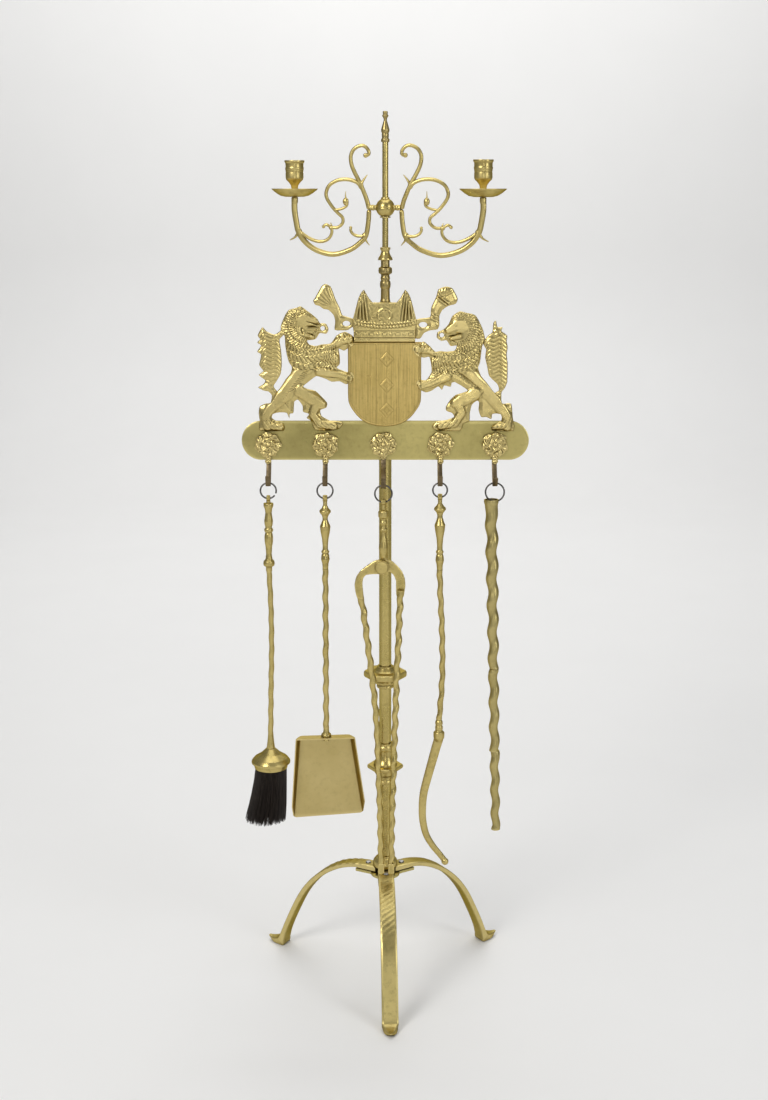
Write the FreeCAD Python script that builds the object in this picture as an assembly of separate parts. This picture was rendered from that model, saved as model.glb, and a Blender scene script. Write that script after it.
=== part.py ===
import FreeCAD, Part
import os
import math
from FreeCAD import Vector as V

os.makedirs("parts", exist_ok=True)

# ---------------------------------------------------------------- dimensions (mm)
SHIFT_Y = 46.9            # the column stands this far behind the middle of the footprint
# tripod
LEG_W, LEG_YAW = 20.0, 2.2
PLATE_TOP, PLATE_BOT = 151.9, 147.9
# column (hexagonal tube on a tie rod)
HEX_AF, BORE_R, TIE_R = 16.4, 4.0, 3.0
Z_HUB, Z_COL_LOW, Z_COL_MID, Z_COL_TOP = 178.0, 289.0, 350.0, 962.0
Z_COLLAR_UP0, Z_COLLAR_UP1 = 433.0, 466.0
# crossbar and what it carries
BAR_L, BAR_H, BAR_T = 407.0, 56.0, 3.0
BAR_Z = 798.0
BAR_Y1 = -HEX_AF / 2.0              # back face, on the column's front flat
BAR_Y0 = BAR_Y1 - BAR_T             # front face
STRAP_W, STRAP_T = 7.0, 2.5
SLOT_X = {"brush": -165.0, "shovel": -85.0, "tongs": -2.6, "poker": 77.3, "pipe": 154.6}
SLOT_Y = {"brush": -30.0, "shovel": -30.0, "tongs": -48.0, "poker": -30.0, "pipe": -30.0}
ROSETTE_X = [-165.8, -84.6, -2.8, 78.2, 155.2]
ROSETTE_Z, ROSETTE_R = 792.5, 18.0
# rings
WIRE_R, RING_TOP = 1.2, 740.3
RING_R = {"brush": 11.1, "shovel": 11.1, "tongs": 12.0, "poker": 10.2, "pipe": 13.2}
TROUGH_IN_Z, TROUGH_R = 738.1, 3.2
LIP_L, LIP_ANGLE = 15.0, 30.0
# candle carriage
ROD_R, ROD_Z0, ROD_Z1 = 4.2, 1056.0, 1226.0
BALL_Z, BALL_R = 1125.0, 13.25
YAW = 14.0
REACH_L, REACH_R = 132.0, 138.5
SOCKET_R, SOCKET_D, CUP_TOP = 11.15, 20.0, 1191.0
PAN_R = 32.5

OUT = {}


def put(name, shape):
    OUT[name] = shape


# ---------------------------------------------------------------- helpers
def rev(pts, x=0.0, y=0.0):
    """Closed (r, z) outline turned about a vertical axis at x, y."""
    p = [V(r, 0, z) for r, z in pts]
    w = Part.makePolygon(p + [p[0]])
    s = Part.Face(w).revolve(V(0, 0, 0), V(0, 0, 1), 360)
    s.translate(V(x, y, 0))
    return s


def cyl(r, z0, z1, x=0.0, y=0.0):
    return Part.makeCylinder(r, z1 - z0, V(x, y, z0), V(0, 0, 1))


def ycyl(r, y0, y1, x, z):
    return Part.makeCylinder(r, y1 - y0, V(x, y0, z), V(0, 1, 0))


def xcyl(r, x0, x1, y, z):
    return Part.makeCylinder(r, x1 - x0, V(x0, y, z), V(1, 0, 0))


def hexprism(af, z0, z1):
    rc = af / math.sqrt(3)
    p = [V(rc * math.cos(math.radians(60 * i)), rc * math.sin(math.radians(60 * i)), z0) for i in range(6)]
    return Part.Face(Part.makePolygon(p + [p[0]])).extrude(V(0, 0, z1 - z0))


def slab(pts, y0, y1):
    """(x, z) outline given a thickness in y."""
    p = [V(x, y0, z) for x, z in pts]
    return Part.Face(Part.makePolygon(p + [p[0]])).extrude(V(0, y1 - y0, 0))


def catmull(pts, n=6):
    out = []
    m = len(pts)
    for i in range(m - 1):
        p0 = pts[max(i - 1, 0)]
        p1, p2 = pts[i], pts[i + 1]
        p3 = pts[min(i + 2, m - 1)]
        for k in range(n):
            t = k / n
            q = []
            for a, b, c, d in zip(p0, p1, p2, p3):
                q.append(0.5 * (2 * b + (c - a) * t + (2 * a - 5 * b + 4 * c - d) * t * t
                                + (3 * b - a - 3 * c + d) * t ** 3))
            out.append(tuple(q))
    out.append(tuple(pts[-1]))
    return out


def ribbon(pts, w0, w1, y0, y1, n=5):
    """A flat bar of width w0 tapering to w1 along a curved line in the x-z plane."""
    c = catmull(pts, n)
    L, R = [], []
    for i, (x, z) in enumerate(c):
        a = c[max(i - 1, 0)]
        b = c[min(i + 1, len(c) - 1)]
        dx, dz = b[0] - a[0], b[1] - a[1]
        s = math.hypot(dx, dz) or 1.0
        w = (w0 + (w1 - w0) * i / (len(c) - 1)) / 2.0
        L.append((x - dz / s * w, z + dx / s * w))
        R.append((x + dz / s * w, z - dx / s * w))
    return slab(L + R[::-1], y0, y1)


def bowed(pts, r):
    """Round bar of radius r whose ends are level, along a gently curved upright line."""
    c = catmull(pts, 4)
    w = [Part.Wire([Part.makeCircle(r, V(*p), V(0, 0, 1))]) for p in c]
    return Part.makeLoft(w, True, False)


def solid_of(s):
    return s.Solids[0] if len(s.Solids) == 1 else s


def fuse(a, *b):
    s = a.fuse(list(b))
    try:
        s = s.removeSplitter()
    except Exception:
        pass
    return solid_of(s)


def cut(a, *b):
    return solid_of(a.cut(list(b)))


# ================================================================ tripod
def leg(angle):
    """Bent strap leg; outline in (rho, z), then turned to its direction."""
    top = [(11, 160.0), (30, 159.9), (48, 158.6), (70, 153.3), (88, 145.0), (104, 134.5), (121, 119.5),
           (135, 103.0), (147, 84.0), (159, 60.0), (169, 38.0), (175.5, 22.0), (180, 12.5)]
    low = [(11, 152.5), (30, 152.5), (46, 152.4), (66, 147.4), (83, 139.5), (98.5, 129.5), (115, 114.5),
           (128.5, 98.5), (140, 80.5), (152, 56.5), (162, 34.5), (167.5, 20.0), (170.5, 8.0), (172, 0.0)]
    ct = Part.BSplineCurve()
    ct.interpolate([V(a, 0, b) for a, b in top])
    cl = Part.BSplineCurve()
    cl.interpolate([V(a, 0, b) for a, b in low])
    toe = Part.BSplineCurve()
    toe.interpolate([V(180, 0, 12.5), V(186, 0, 8.6), (V(195, 0, 7.4)), V(202.5, 0, 8.0)])
    sole = Part.BSplineCurve()
    sole.interpolate([V(187, 0, 0), V(195, 0, 1.6), V(202.5, 0, 6.2)])
    e = [Part.LineSegment(V(11, 0, 152.5), V(11, 0, 160)).toShape(), ct.toShape(), toe.toShape(),
         Part.LineSegment(V(202.5, 0, 8.0), V(202.5, 0, 6.2)).toShape(), sole.toShape(),
         Part.LineSegment(V(187, 0, 0), V(172, 0, 0)).toShape(), cl.toShape()]
    w = Part.Wire(Part.__sortEdges__(e))
    f = Part.Face(w)
    s = f.extrude(V(0, LEG_W, 0))
    s.translate(V(0, -LEG_W / 2, 0))
    h = LEG_W / 2
    plan = [(0, -h), (184, -h), (202.5, -1.6), (202.5, 1.6), (184, h), (0, h)]
    p = [V(a, b, -5) for a, b in plan]
    s = s.common(Part.Face(Part.makePolygon(p + [p[0]])).extrude(V(0, 0, 180)))
    s = cut(s, cyl(2.55, 140, 170, 28.0, 0))
    s.rotate(V(0, 0, 0), V(0, 0, 1), angle)
    return solid_of(s)


LEG_ANGLES = {"leg_front": -90 + LEG_YAW, "leg_right": 30 + LEG_YAW, "leg_left": 150 + LEG_YAW}
for nm, a in LEG_ANGLES.items():
    put(nm, leg(a))

# three-armed plate under the legs
arms = []
for nm, a in LEG_ANGLES.items():
    b = Part.makeBox(44, 23, PLATE_TOP - PLATE_BOT, V(0, -11.5, PLATE_BOT))
    b = cut(b, cyl(2.55, 140, 170, 28.0, 0))
    b.rotate(V(0, 0, 0), V(0, 0, 1), a)
    arms.append(b)
spider = fuse(cyl(21, PLATE_BOT, PLATE_TOP), *arms)
put("spider_plate", cut(spider, cyl(TIE_R + 0.05, 140, 170)))

rivets = []
for nm, a in LEG_ANGLES.items():
    r = rev([(0, 146.6), (3.6, 147.0), (4.2, 147.9), (2.5, 147.9), (2.5, 160.1), (4.2, 160.1), (3.6, 161.6), (0, 162.4)])
    r.translate(V(28.0, 0, 0))
    r.rotate(V(0, 0, 0), V(0, 0, 1), a)
    rivets.append(r)
nut = cut(hexprism(13.0, 140.9, 147.9), cyl(TIE_R + 0.05, 130, 160))
put("base_fixings", Part.makeCompound(rivets + [nut]))
put("hub_knob", rev([(TIE_R + 0.05, 160.15), (14.5, 160.15), (17.4, 162), (18.2, 166), (17.2, 170.5), (13.8, 174.8), (11.2, 176.2),
                     (11.2, 178.0), (TIE_R + 0.05, 178.0)]))
put("tie_rod", cyl(TIE_R, 138.5, 1003.0))

# ================================================================ column and collars


def hextube(z0, z1):
    return cut(hexprism(HEX_AF, z0, z1), cyl(BORE_R, z0 - 1, z1 + 1))


put("column_lower", hextube(Z_HUB, Z_COL_LOW))
put("column_middle", hextube(Z_COL_MID, Z_COLLAR_UP0))
put("column_upper", hextube(Z_COLLAR_UP1, Z_COL_TOP))


def collar(profile, flange_z0, flange_z1, flange_r, z0, z1):
    body = rev(profile)
    hexf = hexprism(flange_r * math.sqrt(3), flange_z0, flange_z1)
    rim = rev([(0, flange_z0), (flange_r * 0.955, flange_z0), (flange_r * 1.0, flange_z0 + (flange_z1 - flange_z0) * 0.3),
               (flange_r * 1.0, flange_z0 + (flange_z1 - flange_z0) * 0.7), (flange_r * 0.955, flange_z1), (0, flange_z1)])
    s = fuse(body, hexf.common(rim))
    return cut(s, cyl(BORE_R, z0 - 1, z1 + 1))


put("collar_upper", collar([(0, 433), (11.6, 433), (12.6, 435.5), (11.6, 438), (14.5, 439.5), (15.5, 442.5), (14.0, 445.5), (18, 449), (18, 458),
                            (14.5, 460), (13.0, 462), (11.6, 463.5), (11.4, 466), (0, 466)], 449.0, 458.0, 31.2, 433, 466))
put("collar_lower", collar([(0, 289), (11.6, 289), (12.8, 292), (11.4, 295), (11.4, 300), (14.5, 303), (16, 307), (17, 311), (17, 316), (16.5, 320),
                            (13.6, 325), (11.8, 331), (11.4, 338), (12.9, 341), (12.9, 344.5), (11.4, 347), (11.4, 350), (0, 350)],
                           311.0, 316.5, 26.2, 289, 350))

# ================================================================ crossbar
hb = BAR_H / 2
hl = BAR_L / 2 - hb
zc = BAR_Z
e = [Part.LineSegment(V(-hl, BAR_Y0, zc + hb), V(hl, BAR_Y0, zc + hb)).toShape(),
     Part.Arc(V(hl, BAR_Y0, zc + hb), V(hl + hb, BAR_Y0, zc), V(hl, BAR_Y0, zc - hb)).toShape(),
     Part.LineSegment(V(hl, BAR_Y0, zc - hb), V(-hl, BAR_Y0, zc - hb)).toShape(),
     Part.Arc(V(-hl, BAR_Y0, zc - hb), V(-hl - hb, BAR_Y0, zc), V(-hl, BAR_Y0, zc + hb)).toShape()]
bar = Part.Face(Part.Wire(e)).extrude(V(0, BAR_T, 0))
try:
    fr = [ed for ed in bar.Edges if abs(ed.BoundBox.YMax - BAR_Y0) < 0.01 and abs(ed.BoundBox.YMin - BAR_Y0) < 0.01]
    bar = bar.makeFillet(0.8, fr)
except Exception:
    pass
STUD_Z = ROSETTE_Z
cuts = [ycyl(2.05, BAR_Y0 - 2, BAR_Y1 + 2, x, STUD_Z) for x in ROSETTE_X if abs(x) > 10]
cuts += [ycyl(2.05, BAR_Y0 - 2, BAR_Y1 + 2, x, z) for x in (-20.0, 20.0) for z in (789.0, 807.0)]
cuts += [ycyl(2.05, BAR_Y0 - 2, BAR_Y1 + 2, x, 816.0) for x in (-158.0, -74.0, 74.0, 158.0)]
put("crossbar", cut(bar, *cuts))

# strap clamped round the back of the hexagonal column, ears against the plate
br = Part.makeBox(60, HEX_AF + 2.6, 28, V(-30, BAR_Y1, 784))
br = br.cut(hexprism(HEX_AF + 0.1, 780, 816)).cut(Part.makeBox(30, 30, 40, V(12.2, BAR_Y1 + 2.6, 780))).cut(
    Part.makeBox(30, 30, 40, V(-42.2, BAR_Y1 + 2.6, 780)))
br = cut(solid_of(br), *[ycyl(2.05, BAR_Y1 - 2, BAR_Y1 + 5, x, z) for x in (-20.0, 20.0) for z in (789.0, 807.0)])
BRACKET = br

# rosettes: cast foliate bosses with a stud on the back
ros = []
for x in ROSETTE_X:
    y0 = BAR_Y0 - STRAP_T
    n = 8
    pts = []
    for i in range(64):
        a = 2 * math.pi * i / 64
        rr = ROSETTE_R * (0.93 + 0.07 * math.cos(n * a))
        pts.append((x + rr * math.cos(a), ROSETTE_Z + 0.97 * rr * math.sin(a)))
    b = slab(pts, y0 - 3.0, y0)
    dome = rev([(0, 0), (14.5, 0), (13, 2.6), (9.5, 4.6), (6.5, 5.2), (5.2, 6.4), (0, 7.0)])
    dome.rotate(V(0, 0, 0), V(1, 0, 0), 90)
    dome.translate(V(x, y0 - 2.4, ROSETTE_Z))
    zl = 764.5 if abs(x) > 10 else 771.0
    lug = slab([(x - 4.6, 780.0), (x - 4.6, zl + 3.5), (x - 3.4, zl), (x + 3.4, zl), (x + 4.6, zl + 3.5), (x + 4.6, 780.0)], y0 - 3.0, y0 - 1.5)
    parts = [dome, lug]
    if abs(x) > 10:
        parts.append(ycyl(2.0, y0 - 1.0, BAR_Y1 + 4.0, x, STUD_Z))
    else:
        parts.append(ycyl(2.0, y0 - 1.0, BAR_Y0 + 1.0, x, STUD_Z))
    ros.append(fuse(b, *parts))
put("rosettes", Part.makeCompound(ros))
# the middle rosette's short stud is riveted in the plate
OUT["crossbar"] = cut(OUT["crossbar"], ycyl(2.05, BAR_Y0 - 1, BAR_Y0 + 1.1, ROSETTE_X[2], STUD_Z))


# hooks: flat strap hung from behind its rosette, turned up in front
def hook(x, ys, xo, LIP_L=15.0, LIP_ANGLE=30.0):
    yb = BAR_Y0 - STRAP_T / 2
    cy, cz = ys, TROUGH_IN_Z + TROUGH_R
    rc = TROUGH_R + STRAP_T / 2
    a0, a1 = math.radians(-20), math.radians(-180 + LIP_ANGLE)
    t1 = (cy + rc * math.cos(a0), cz + rc * math.sin(a0))
    d1 = (math.sin(a0), -math.cos(a0))
    p1 = (yb, 772.0)
    b = [p1, (yb, p1[1] - 15.0), (t1[0] - d1[0] * 16.0, t1[1] - d1[1] * 16.0), t1]
    line = [(yb, 806.0), (yb, 790.0)]
    for i in range(13):
        t = i / 12.0
        c = [(1 - t) ** 3, 3 * t * (1 - t) ** 2, 3 * t * t * (1 - t), t ** 3]
        line.append((sum(c[k] * b[k][0] for k in range(4)), sum(c[k] * b[k][1] for k in range(4))))
    for i in range(1, 15):
        a = a0 + (a1 - a0) * i / 14.0
        line.append((cy + rc * math.cos(a), cz + rc * math.sin(a)))
    dy, dz = -math.sin(math.radians(LIP_ANGLE)), math.cos(math.radians(LIP_ANGLE))
    ly, lz = line[-1]
    line.append((ly + dy * LIP_L * 0.5, lz + dz * LIP_L * 0.5))
    line.append((ly + dy * LIP_L, lz + dz * LIP_L))
    L, R = [], []
    for i, (y, z) in enumerate(line):
        a = line[max(i - 1, 0)]
        bb = line[min(i + 1, len(line) - 1)]
        ey, ez = bb[0] - a[0], bb[1] - a[1]
        s = math.hypot(ey, ez)
        L.append((y - ez / s * STRAP_T / 2, z + ey / s * STRAP_T / 2))
        R.append((y + ez / s * STRAP_T / 2, z - ey / s * STRAP_T / 2))
    p = [V(x - STRAP_W / 2, y, z) for y, z in L + R[::-1]]
    s = Part.Face(Part.makePolygon(p + [p[0]])).extrude(V(STRAP_W, 0, 0))
    return cut(s, ycyl(2.05, BAR_Y0 - 5, BAR_Y0 + 2, xo, STUD_Z))


for (k, x), xo in zip(SLOT_X.items(), ROSETTE_X):
    # the pipe hook opens wider, so that the pipe's mouth passes in front of it
    put("hook_" + k, hook(x, SLOT_Y[k], xo, *((17.0, 45.0) if k == "pipe" else (LIP_L, LIP_ANGLE))))

# ================================================================ crest
SH_X = 51.5
sh_half = [(0, 938.0), (SH_X, 938.0), (SH_X, 862.0), (49.5, 850.0), (44.0, 840.5), (36.0, 831.0), (26.0, 824.0), (14.0, 820.0), (0, 818.6)]
shield_out = sh_half + [(-x, z) for x, z in sh_half[::-1][1:-1]]
shield = slab([(x - 1.0, z) for x, z in shield_out], BAR_Y0 - 6.0, BAR_Y0)
put("shield", cut(shield, *[ycyl(2.05, BAR_Y0 - 3.0, BAR_Y0 + 1, 0, z) for z in (850.0, 905.0)]))

cr_half = [(0, 938.6), (42.6, 938.6), (43.4, 946.0), (43.4, 953.5), (45.0, 962.0), (44.4, 969.0), (41.2, 981.0), (37.8, 994.0), (36.0, 1001.0),
           (29.0, 1011.6), (26.0, 1006.0), (22.5, 1000.0), (17.0, 993.6), (8.0, 993.6), (0, 993.6)]
crown_out = cr_half + [(-x, z) for x, z in cr_half[::-1][1:-1]]
crown = slab([(x - 1.0, z) for x, z in crown_out], BAR_Y0 - 8.0, BAR_Y0 + 3.0)
crown = fuse(crown, rev([(0, 976), (9.5, 976), (11.2, 990), (7.2, 994), (0, 994)]))
crown = cut(crown, cyl(TIE_R + 0.05, 900, 1100), ycyl(2.05, BAR_Y0 - 3.0, BAR_Y0 + 4, 0, 950.0),
            hexprism(HEX_AF + 0.1, 930, Z_COL_TOP + 0.1))
put("crown", crown)

CREST_SCREWS = ((-93.0, 895.0), (92.0, 885.0))
# flat back strap that ties shield, crown and lions to the column's front
bk = slab([(-30, 826.2), (30, 826.2), (30, 850), (46, 866), (52, 871.0), (64, 872.5), (100, 882.0), (100, 892), (64, 883.0), (52, 882.0), (46, 886), (30, 938.4),
           (-30, 938.4), (-46, 896), (-52, 893.5), (-66, 893.5), (-100, 902), (-100, 892.5), (-66, 885.0), (-52, 883.5), (-46, 878), (-30, 850)], BAR_Y0, BAR_Y1)
bk = cut(bk, *[ycyl(2.05, BAR_Y0 - 3.0, BAR_Y1 + 2, 0, z) for z in (850.0, 905.0)] +
         [ycyl(2.05, BAR_Y0 - 3.0, BAR_Y1 + 2, x, z) for x, z in CREST_SCREWS])
put("rear_brackets", Part.makeCompound([BRACKET, bk]))
OUT["column_upper"] = cut(OUT["column_upper"], *[ycyl(2.05, -10, 10, 0, z) for z in (850.0, 905.0)])

# the middle of the column is shared by the tie rod, so the crest screws stop short of it
fix = []
for z in (850.0, 905.0):
    fix.append(ycyl(2.0, BAR_Y0 - 2.6, -TIE_R - 0.4, 0, z))
for x, z in CREST_SCREWS:
    fix.append(fuse(ycyl(2.0, BAR_Y0 - 2.6, BAR_Y1 + 0.1, x, z), ycyl(3.6, BAR_Y1, BAR_Y1 + 2.0, x, z)))
for x in (-158.0, -74.0, 74.0, 158.0):
    fix.append(fuse(ycyl(2.0, BAR_Y0 - 2.6, BAR_Y1 + 0.1, x, 816.0), ycyl(3.6, BAR_Y1, BAR_Y1 + 2.0, x, 816.0)))
for x in (-20.0, 20.0):
    for z in (789.0, 807.0):
        fix.append(fuse(ycyl(2.0, BAR_Y0 + 0.1, BAR_Y1 + 2.7, x, z), ycyl(3.6, BAR_Y1 + 2.6, BAR_Y1 + 4.6, x, z)))
for x in ROSETTE_X:
    if abs(x) > 10:
        n = Part.makeBox(7.0, 3.0, 7.0, V(x - 3.5, BAR_Y1, STUD_Z - 3.5))
        fix.append(cut(n, ycyl(2.05, BAR_Y1 - 1, BAR_Y1 + 5, x, STUD_Z)))
put("rear_fixings", Part.makeCompound(fix))

# rampant supporters (generic heraldic lions), outlines in (x, z)
L_BODY = [(-146.8, 956.0), (-145.3, 964.6), (-140.2, 976.1), (-135.1, 983.2), (-126.5, 985.4), (-118.7, 988.2), (-112.3, 984.0),
          (-103.7, 977.5), (-95.2, 970.4), (-91.7, 964.6), (-83.0, 963.5), (-79.6, 956.0), (-83.0, 949.5), (-92.0, 950.5), (-98.2, 941.7),
          (-109.7, 940.2), (-106.9, 934.5), (-98.3, 932.3), (-89.7, 934.5), (-76.8, 935.9), (-68.1, 947.4), (-56.7, 952.4), (-46.6, 947.4),
          (-40.9, 938.8), (-51.0, 930.2), (-58.2, 925.8), (-65.3, 928.7), (-63.9, 917.2), (-64.0, 907.1), (-68.3, 901.3), (-54.0, 895.5),
          (-46.8, 895.5), (-43.9, 888.3), (-48.3, 881.1), (-55.5, 878.2), (-64.1, 882.5), (-75.6, 881.8), (-84.2, 886.1), (-97.1, 889.8),
          (-107.2, 882.5), (-115.9, 875.3), (-110.1, 871.7), (-98.6, 868.8), (-90.1, 860.8), (-82.2, 852.1), (-82.9, 845.5), (-91.6, 841.9),
          (-90.2, 833.2), (-78.7, 826.6), (-68.6, 825.9), (-59.2, 823.0), (-64.3, 815.7), (-75.9, 812.0), (-98.9, 813.0), (-104.7, 825.9),
          (-111.1, 830.2), (-107.5, 836.1), (-116.1, 839.0), (-116.8, 847.7), (-123.2, 856.4), (-128.3, 853.5), (-129.0, 846.3),
          (-129.8, 837.5), (-134.9, 836.1), (-135.6, 829.5), (-139.2, 837.5), (-149.3, 838.3), (-158.7, 836.1), (-160.2, 830.2),
          (-153.7, 825.9), (-143.6, 821.5), (-143.7, 812.0), (-176.9, 812.0), (-177.5, 825.9), (-178.8, 837.5), (-177.3, 846.3),
          (-169.3, 850.6), (-161.4, 852.1), (-153.3, 866.6), (-147.5, 873.8), (-140.2, 885.4), (-133.0, 894.1), (-131.5, 902.8),
          (-135.7, 910.0), (-138.5, 920.1), (-140.5, 933.0), (-141.2, 946.0)]
L_TAIL = [(-172.5, 958.9), (-179.1, 947.4), (-175.6, 941.7), (-179.9, 937.4), (-174.2, 933.0), (-180.1, 924.4), (-174.4, 920.1),
          (-177.4, 905.7), (-171.7, 897.0), (-178.3, 891.2), (-169.0, 884.0), (-171.9, 878.2), (-179.2, 873.8), (-172.0, 869.5),
          (-164.8, 868.0), (-159.9, 862.2), (-161.4, 851.0), (-152.0, 862.0), (-152.6, 868.0), (-157.6, 875.3), (-153.2, 882.5),
          (-147.4, 892.6), (-145.8, 902.8), (-145.7, 917.2), (-147.0, 930.2), (-148.5, 941.7), (-141.0, 950.0), (-143.5, 958.9),
          (-148.3, 952.7), (-156.2, 948.4), (-166.2, 952.7)]
R_BODY = [(81.5, 955.6), (88.6, 962.8), (94.2, 974.7), (104.2, 981.1), (114.2, 979.0), (125.7, 976.1), (131.5, 967.5), (137.3, 954.6),
          (140.3, 940.2), (136.0, 931.6), (133.4, 910.0), (130.6, 901.3), (135.0, 889.8), (143.7, 879.6), (152.4, 868.0), (162.6, 857.9),
          (165.5, 850.6), (177.8, 850.6), (180.1, 831.7), (181.8, 812.0), (151.5, 812.0), (151.4, 818.6), (164.3, 827.3), (162.8, 836.1),
          (151.3, 836.1), (149.9, 828.8), (142.6, 831.7), (135.4, 831.7), (131.7, 841.9), (132.4, 852.1), (129.5, 855.0), (122.3, 849.2),
          (119.5, 837.5), (118.9, 825.9), (110.0, 822.0), (106.0, 812.0), (72.1, 812.0), (66.3, 818.6), (72.0, 825.1), (86.4, 827.3),
          (97.2, 831.7), (94.3, 837.5), (86.4, 840.4), (85.6, 846.3), (92.0, 856.4), (99.2, 863.0), (110.7, 866.6), (116.4, 869.5),
          (106.3, 876.7), (94.8, 882.5), (91.9, 874.6), (83.3, 876.7), (79.7, 870.2), (74.7, 875.3), (66.1, 869.5), (57.5, 866.6),
          (48.8, 870.9), (43.7, 879.6), (47.3, 884.7), (57.4, 884.0), (65.2, 895.5), (63.8, 910.0), (61.6, 917.2), (54.4, 915.8),
          (45.8, 918.6), (38.6, 927.3), (40.0, 933.0), (48.6, 935.9), (54.3, 938.8), (63.0, 931.6), (70.1, 924.4), (77.3, 925.1),
          (85.9, 924.4), (97.4, 925.8), (100.2, 933.0), (91.6, 932.3), (86.0, 940.5), (78.6, 939.5), (72.4, 944.0), (73.0, 951.5)]
R_TAIL = [(139.3, 940.2), (144.5, 947.4), (150.2, 951.7), (151.5, 964.6), (155.0, 968.2), (157.3, 958.9), (164.4, 958.9), (163.1, 953.2),
          (171.0, 947.4), (170.4, 938.8), (171.9, 930.2), (170.6, 920.1), (172.1, 908.5), (172.2, 897.0), (171.7, 881.1), (168.2, 872.4),
          (163.9, 866.6), (163.3, 849.5), (152.5, 864.0), (160.3, 869.5), (158.1, 878.2), (146.4, 889.8), (143.5, 902.8), (140.5, 915.8),
          (141.8, 927.3), (138.0, 934.0)]
keep = slab([(x * 1.004 - 1.0, z) for x, z in shield_out], BAR_Y0 - 10, BAR_Y0 + 1)
crk = slab([(x * 1.006 - 1.0, z) for x, z in crown_out], BAR_Y0 - 12, BAR_Y0 + 6)
for nm, body, tail, xs in (("lion_left", L_BODY, L_TAIL, (-158.0, -74.0, CREST_SCREWS[0])), ("lion_right", R_BODY, R_TAIL, (158.0, 74.0, CREST_SCREWS[1]))):
    s = slab(body, BAR_Y0 - 6.5, BAR_Y0).fuse(slab(tail, BAR_Y0 - 4.5, BAR_Y0))
    s = s.removeSplitter()
    s = cut(s, keep, crk, ycyl(2.05, BAR_Y0 - 3.0, BAR_Y0 + 1, xs[0], 816.0), ycyl(2.05, BAR_Y0 - 3.0, BAR_Y0 + 1, xs[1], 816.0),
            ycyl(2.05, BAR_Y0 - 3.0, BAR_Y0 + 1, xs[2][0], xs[2][1]))
    if s.ShapeType != "Solid":
        s = max(s.Solids, key=lambda q: q.Volume)
    put(nm, s)

# mantling plumes either side of the crown
L_PLUME = [(-100.9, 996.0), (-98.0, 1000.3), (-89.3, 1015.9), (-83.6, 1019.5), (-76.5, 1015.9), (-72.9, 1007.4), (-69.4, 997.4),
           (-63.7, 986.0), (-60.2, 975.9), (-50.0, 972.0), (-45.6, 968.0), (-45.2, 963.0), (-52.4, 955.0), (-61.0, 954.4), (-71.0, 955.1),
           (-70.2, 967.3), (-72.4, 975.9), (-79.5, 983.1), (-86.6, 984.5), (-92.3, 988.8), (-98.0, 990.2)]
R_PLUME = [(74.1, 1011.7), (84.1, 1015.9), (94.1, 1013.1), (101.3, 998.8), (98.5, 991.7), (88.5, 988.8), (80.0, 983.1), (75.7, 974.5),
           (75.8, 961.6), (72.9, 955.8), (62.9, 954.4), (54.3, 950.6), (49.0, 943.0), (44.0, 943.6), (43.4, 957.3), (44.6, 966.5),
           (50.0, 970.0), (62.8, 973.1), (64.2, 986.0), (71.3, 1001.7)]
pl = [slab(L_PLUME, BAR_Y0 - 5.5, BAR_Y0 - 0.5), slab(R_PLUME, BAR_Y0 - 5.5, BAR_Y0 - 0.5)]
pl = [p.cut(crk).cut(keep) for p in pl]
for nm, k in (("lion_left", 0), ("lion_right", 1)):
    pl[k] = pl[k].cut(OUT[nm])
pl = [max(p.Solids, key=lambda q: q.Volume) for p in pl]
put("plumes", Part.makeCompound(pl))

# ================================================================ candle rod above the crown
put("crown_stem", cut(rev([(0, 994), (7.4, 994), (6.4, 998), (6.2, 1012), (7.2, 1014), (7.6, 1018.5), (7.2, 1022), (6.0, 1023.5), (6.0, 1024.5),
                           (6.6, 1026), (6.6, 1028), (5.9, 1029.5), (5.9, 1032), (9.4, 1034.0), (9.6, 1037.5), (9.4, 1041), (6.1, 1043), (6.1, 1052),
                           (0, 1052)]), cyl(TIE_R + 0.05, 990, 1003.1)))
bell = rev([(0, 1052.0), (10.3, 1052.0), (10.1, 1054.5), (7.6, 1058.5), (6.0, 1062.5), (5.7, 1065.0), (7.2, 1067.5), (7.2, 1069.8), (0, 1070.0)])
put("bell_nut", cut(bell, cyl(ROD_R + 0.02, ROD_Z0, 1080)))
put("candle_rod", cyl(ROD_R, ROD_Z0, ROD_Z1))
fin = rev([(0, 1215.5), (5.8, 1215.5), (5.9, 1219.5), (4.4, 1220.6), (4.4, 1221.8), (4.9, 1223), (4.9, 1226.5), (4.3, 1227.5), (5.7, 1229.5), (5.9, 1232.5),
           (4.2, 1238.5), (2.4, 1244.5), (2.3, 1247), (3.4, 1249.6), (4.7, 1251.4), (3.0, 1253.6), (3.5, 1254.6), (3.5, 1257.4), (0, 1257.9)])
put("finial", cut(fin, cyl(ROD_R + 0.02, 1200, ROD_Z1)))

# ================================================================ candle carriage
bush = rev([(ROD_R + 0.06, 1110.9), (7.4, 1110.9), (7.4, 1112.8), (5.9, 1112.8), (5.9, 1139.4), (ROD_R + 0.06, 1139.4)])
put("ball_bush", bush)
ball = Part.makeSphere(BALL_R, V(0, 0, BALL_Z))
ball = cut(ball, cyl(5.96, 1100, 1150), xcyl(4.05, -20, -8.0, 0, BALL_Z), xcyl(4.05, 8.0, 20, 0, BALL_Z), ycyl(2.0, 3, 20, 0, BALL_Z))

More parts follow.
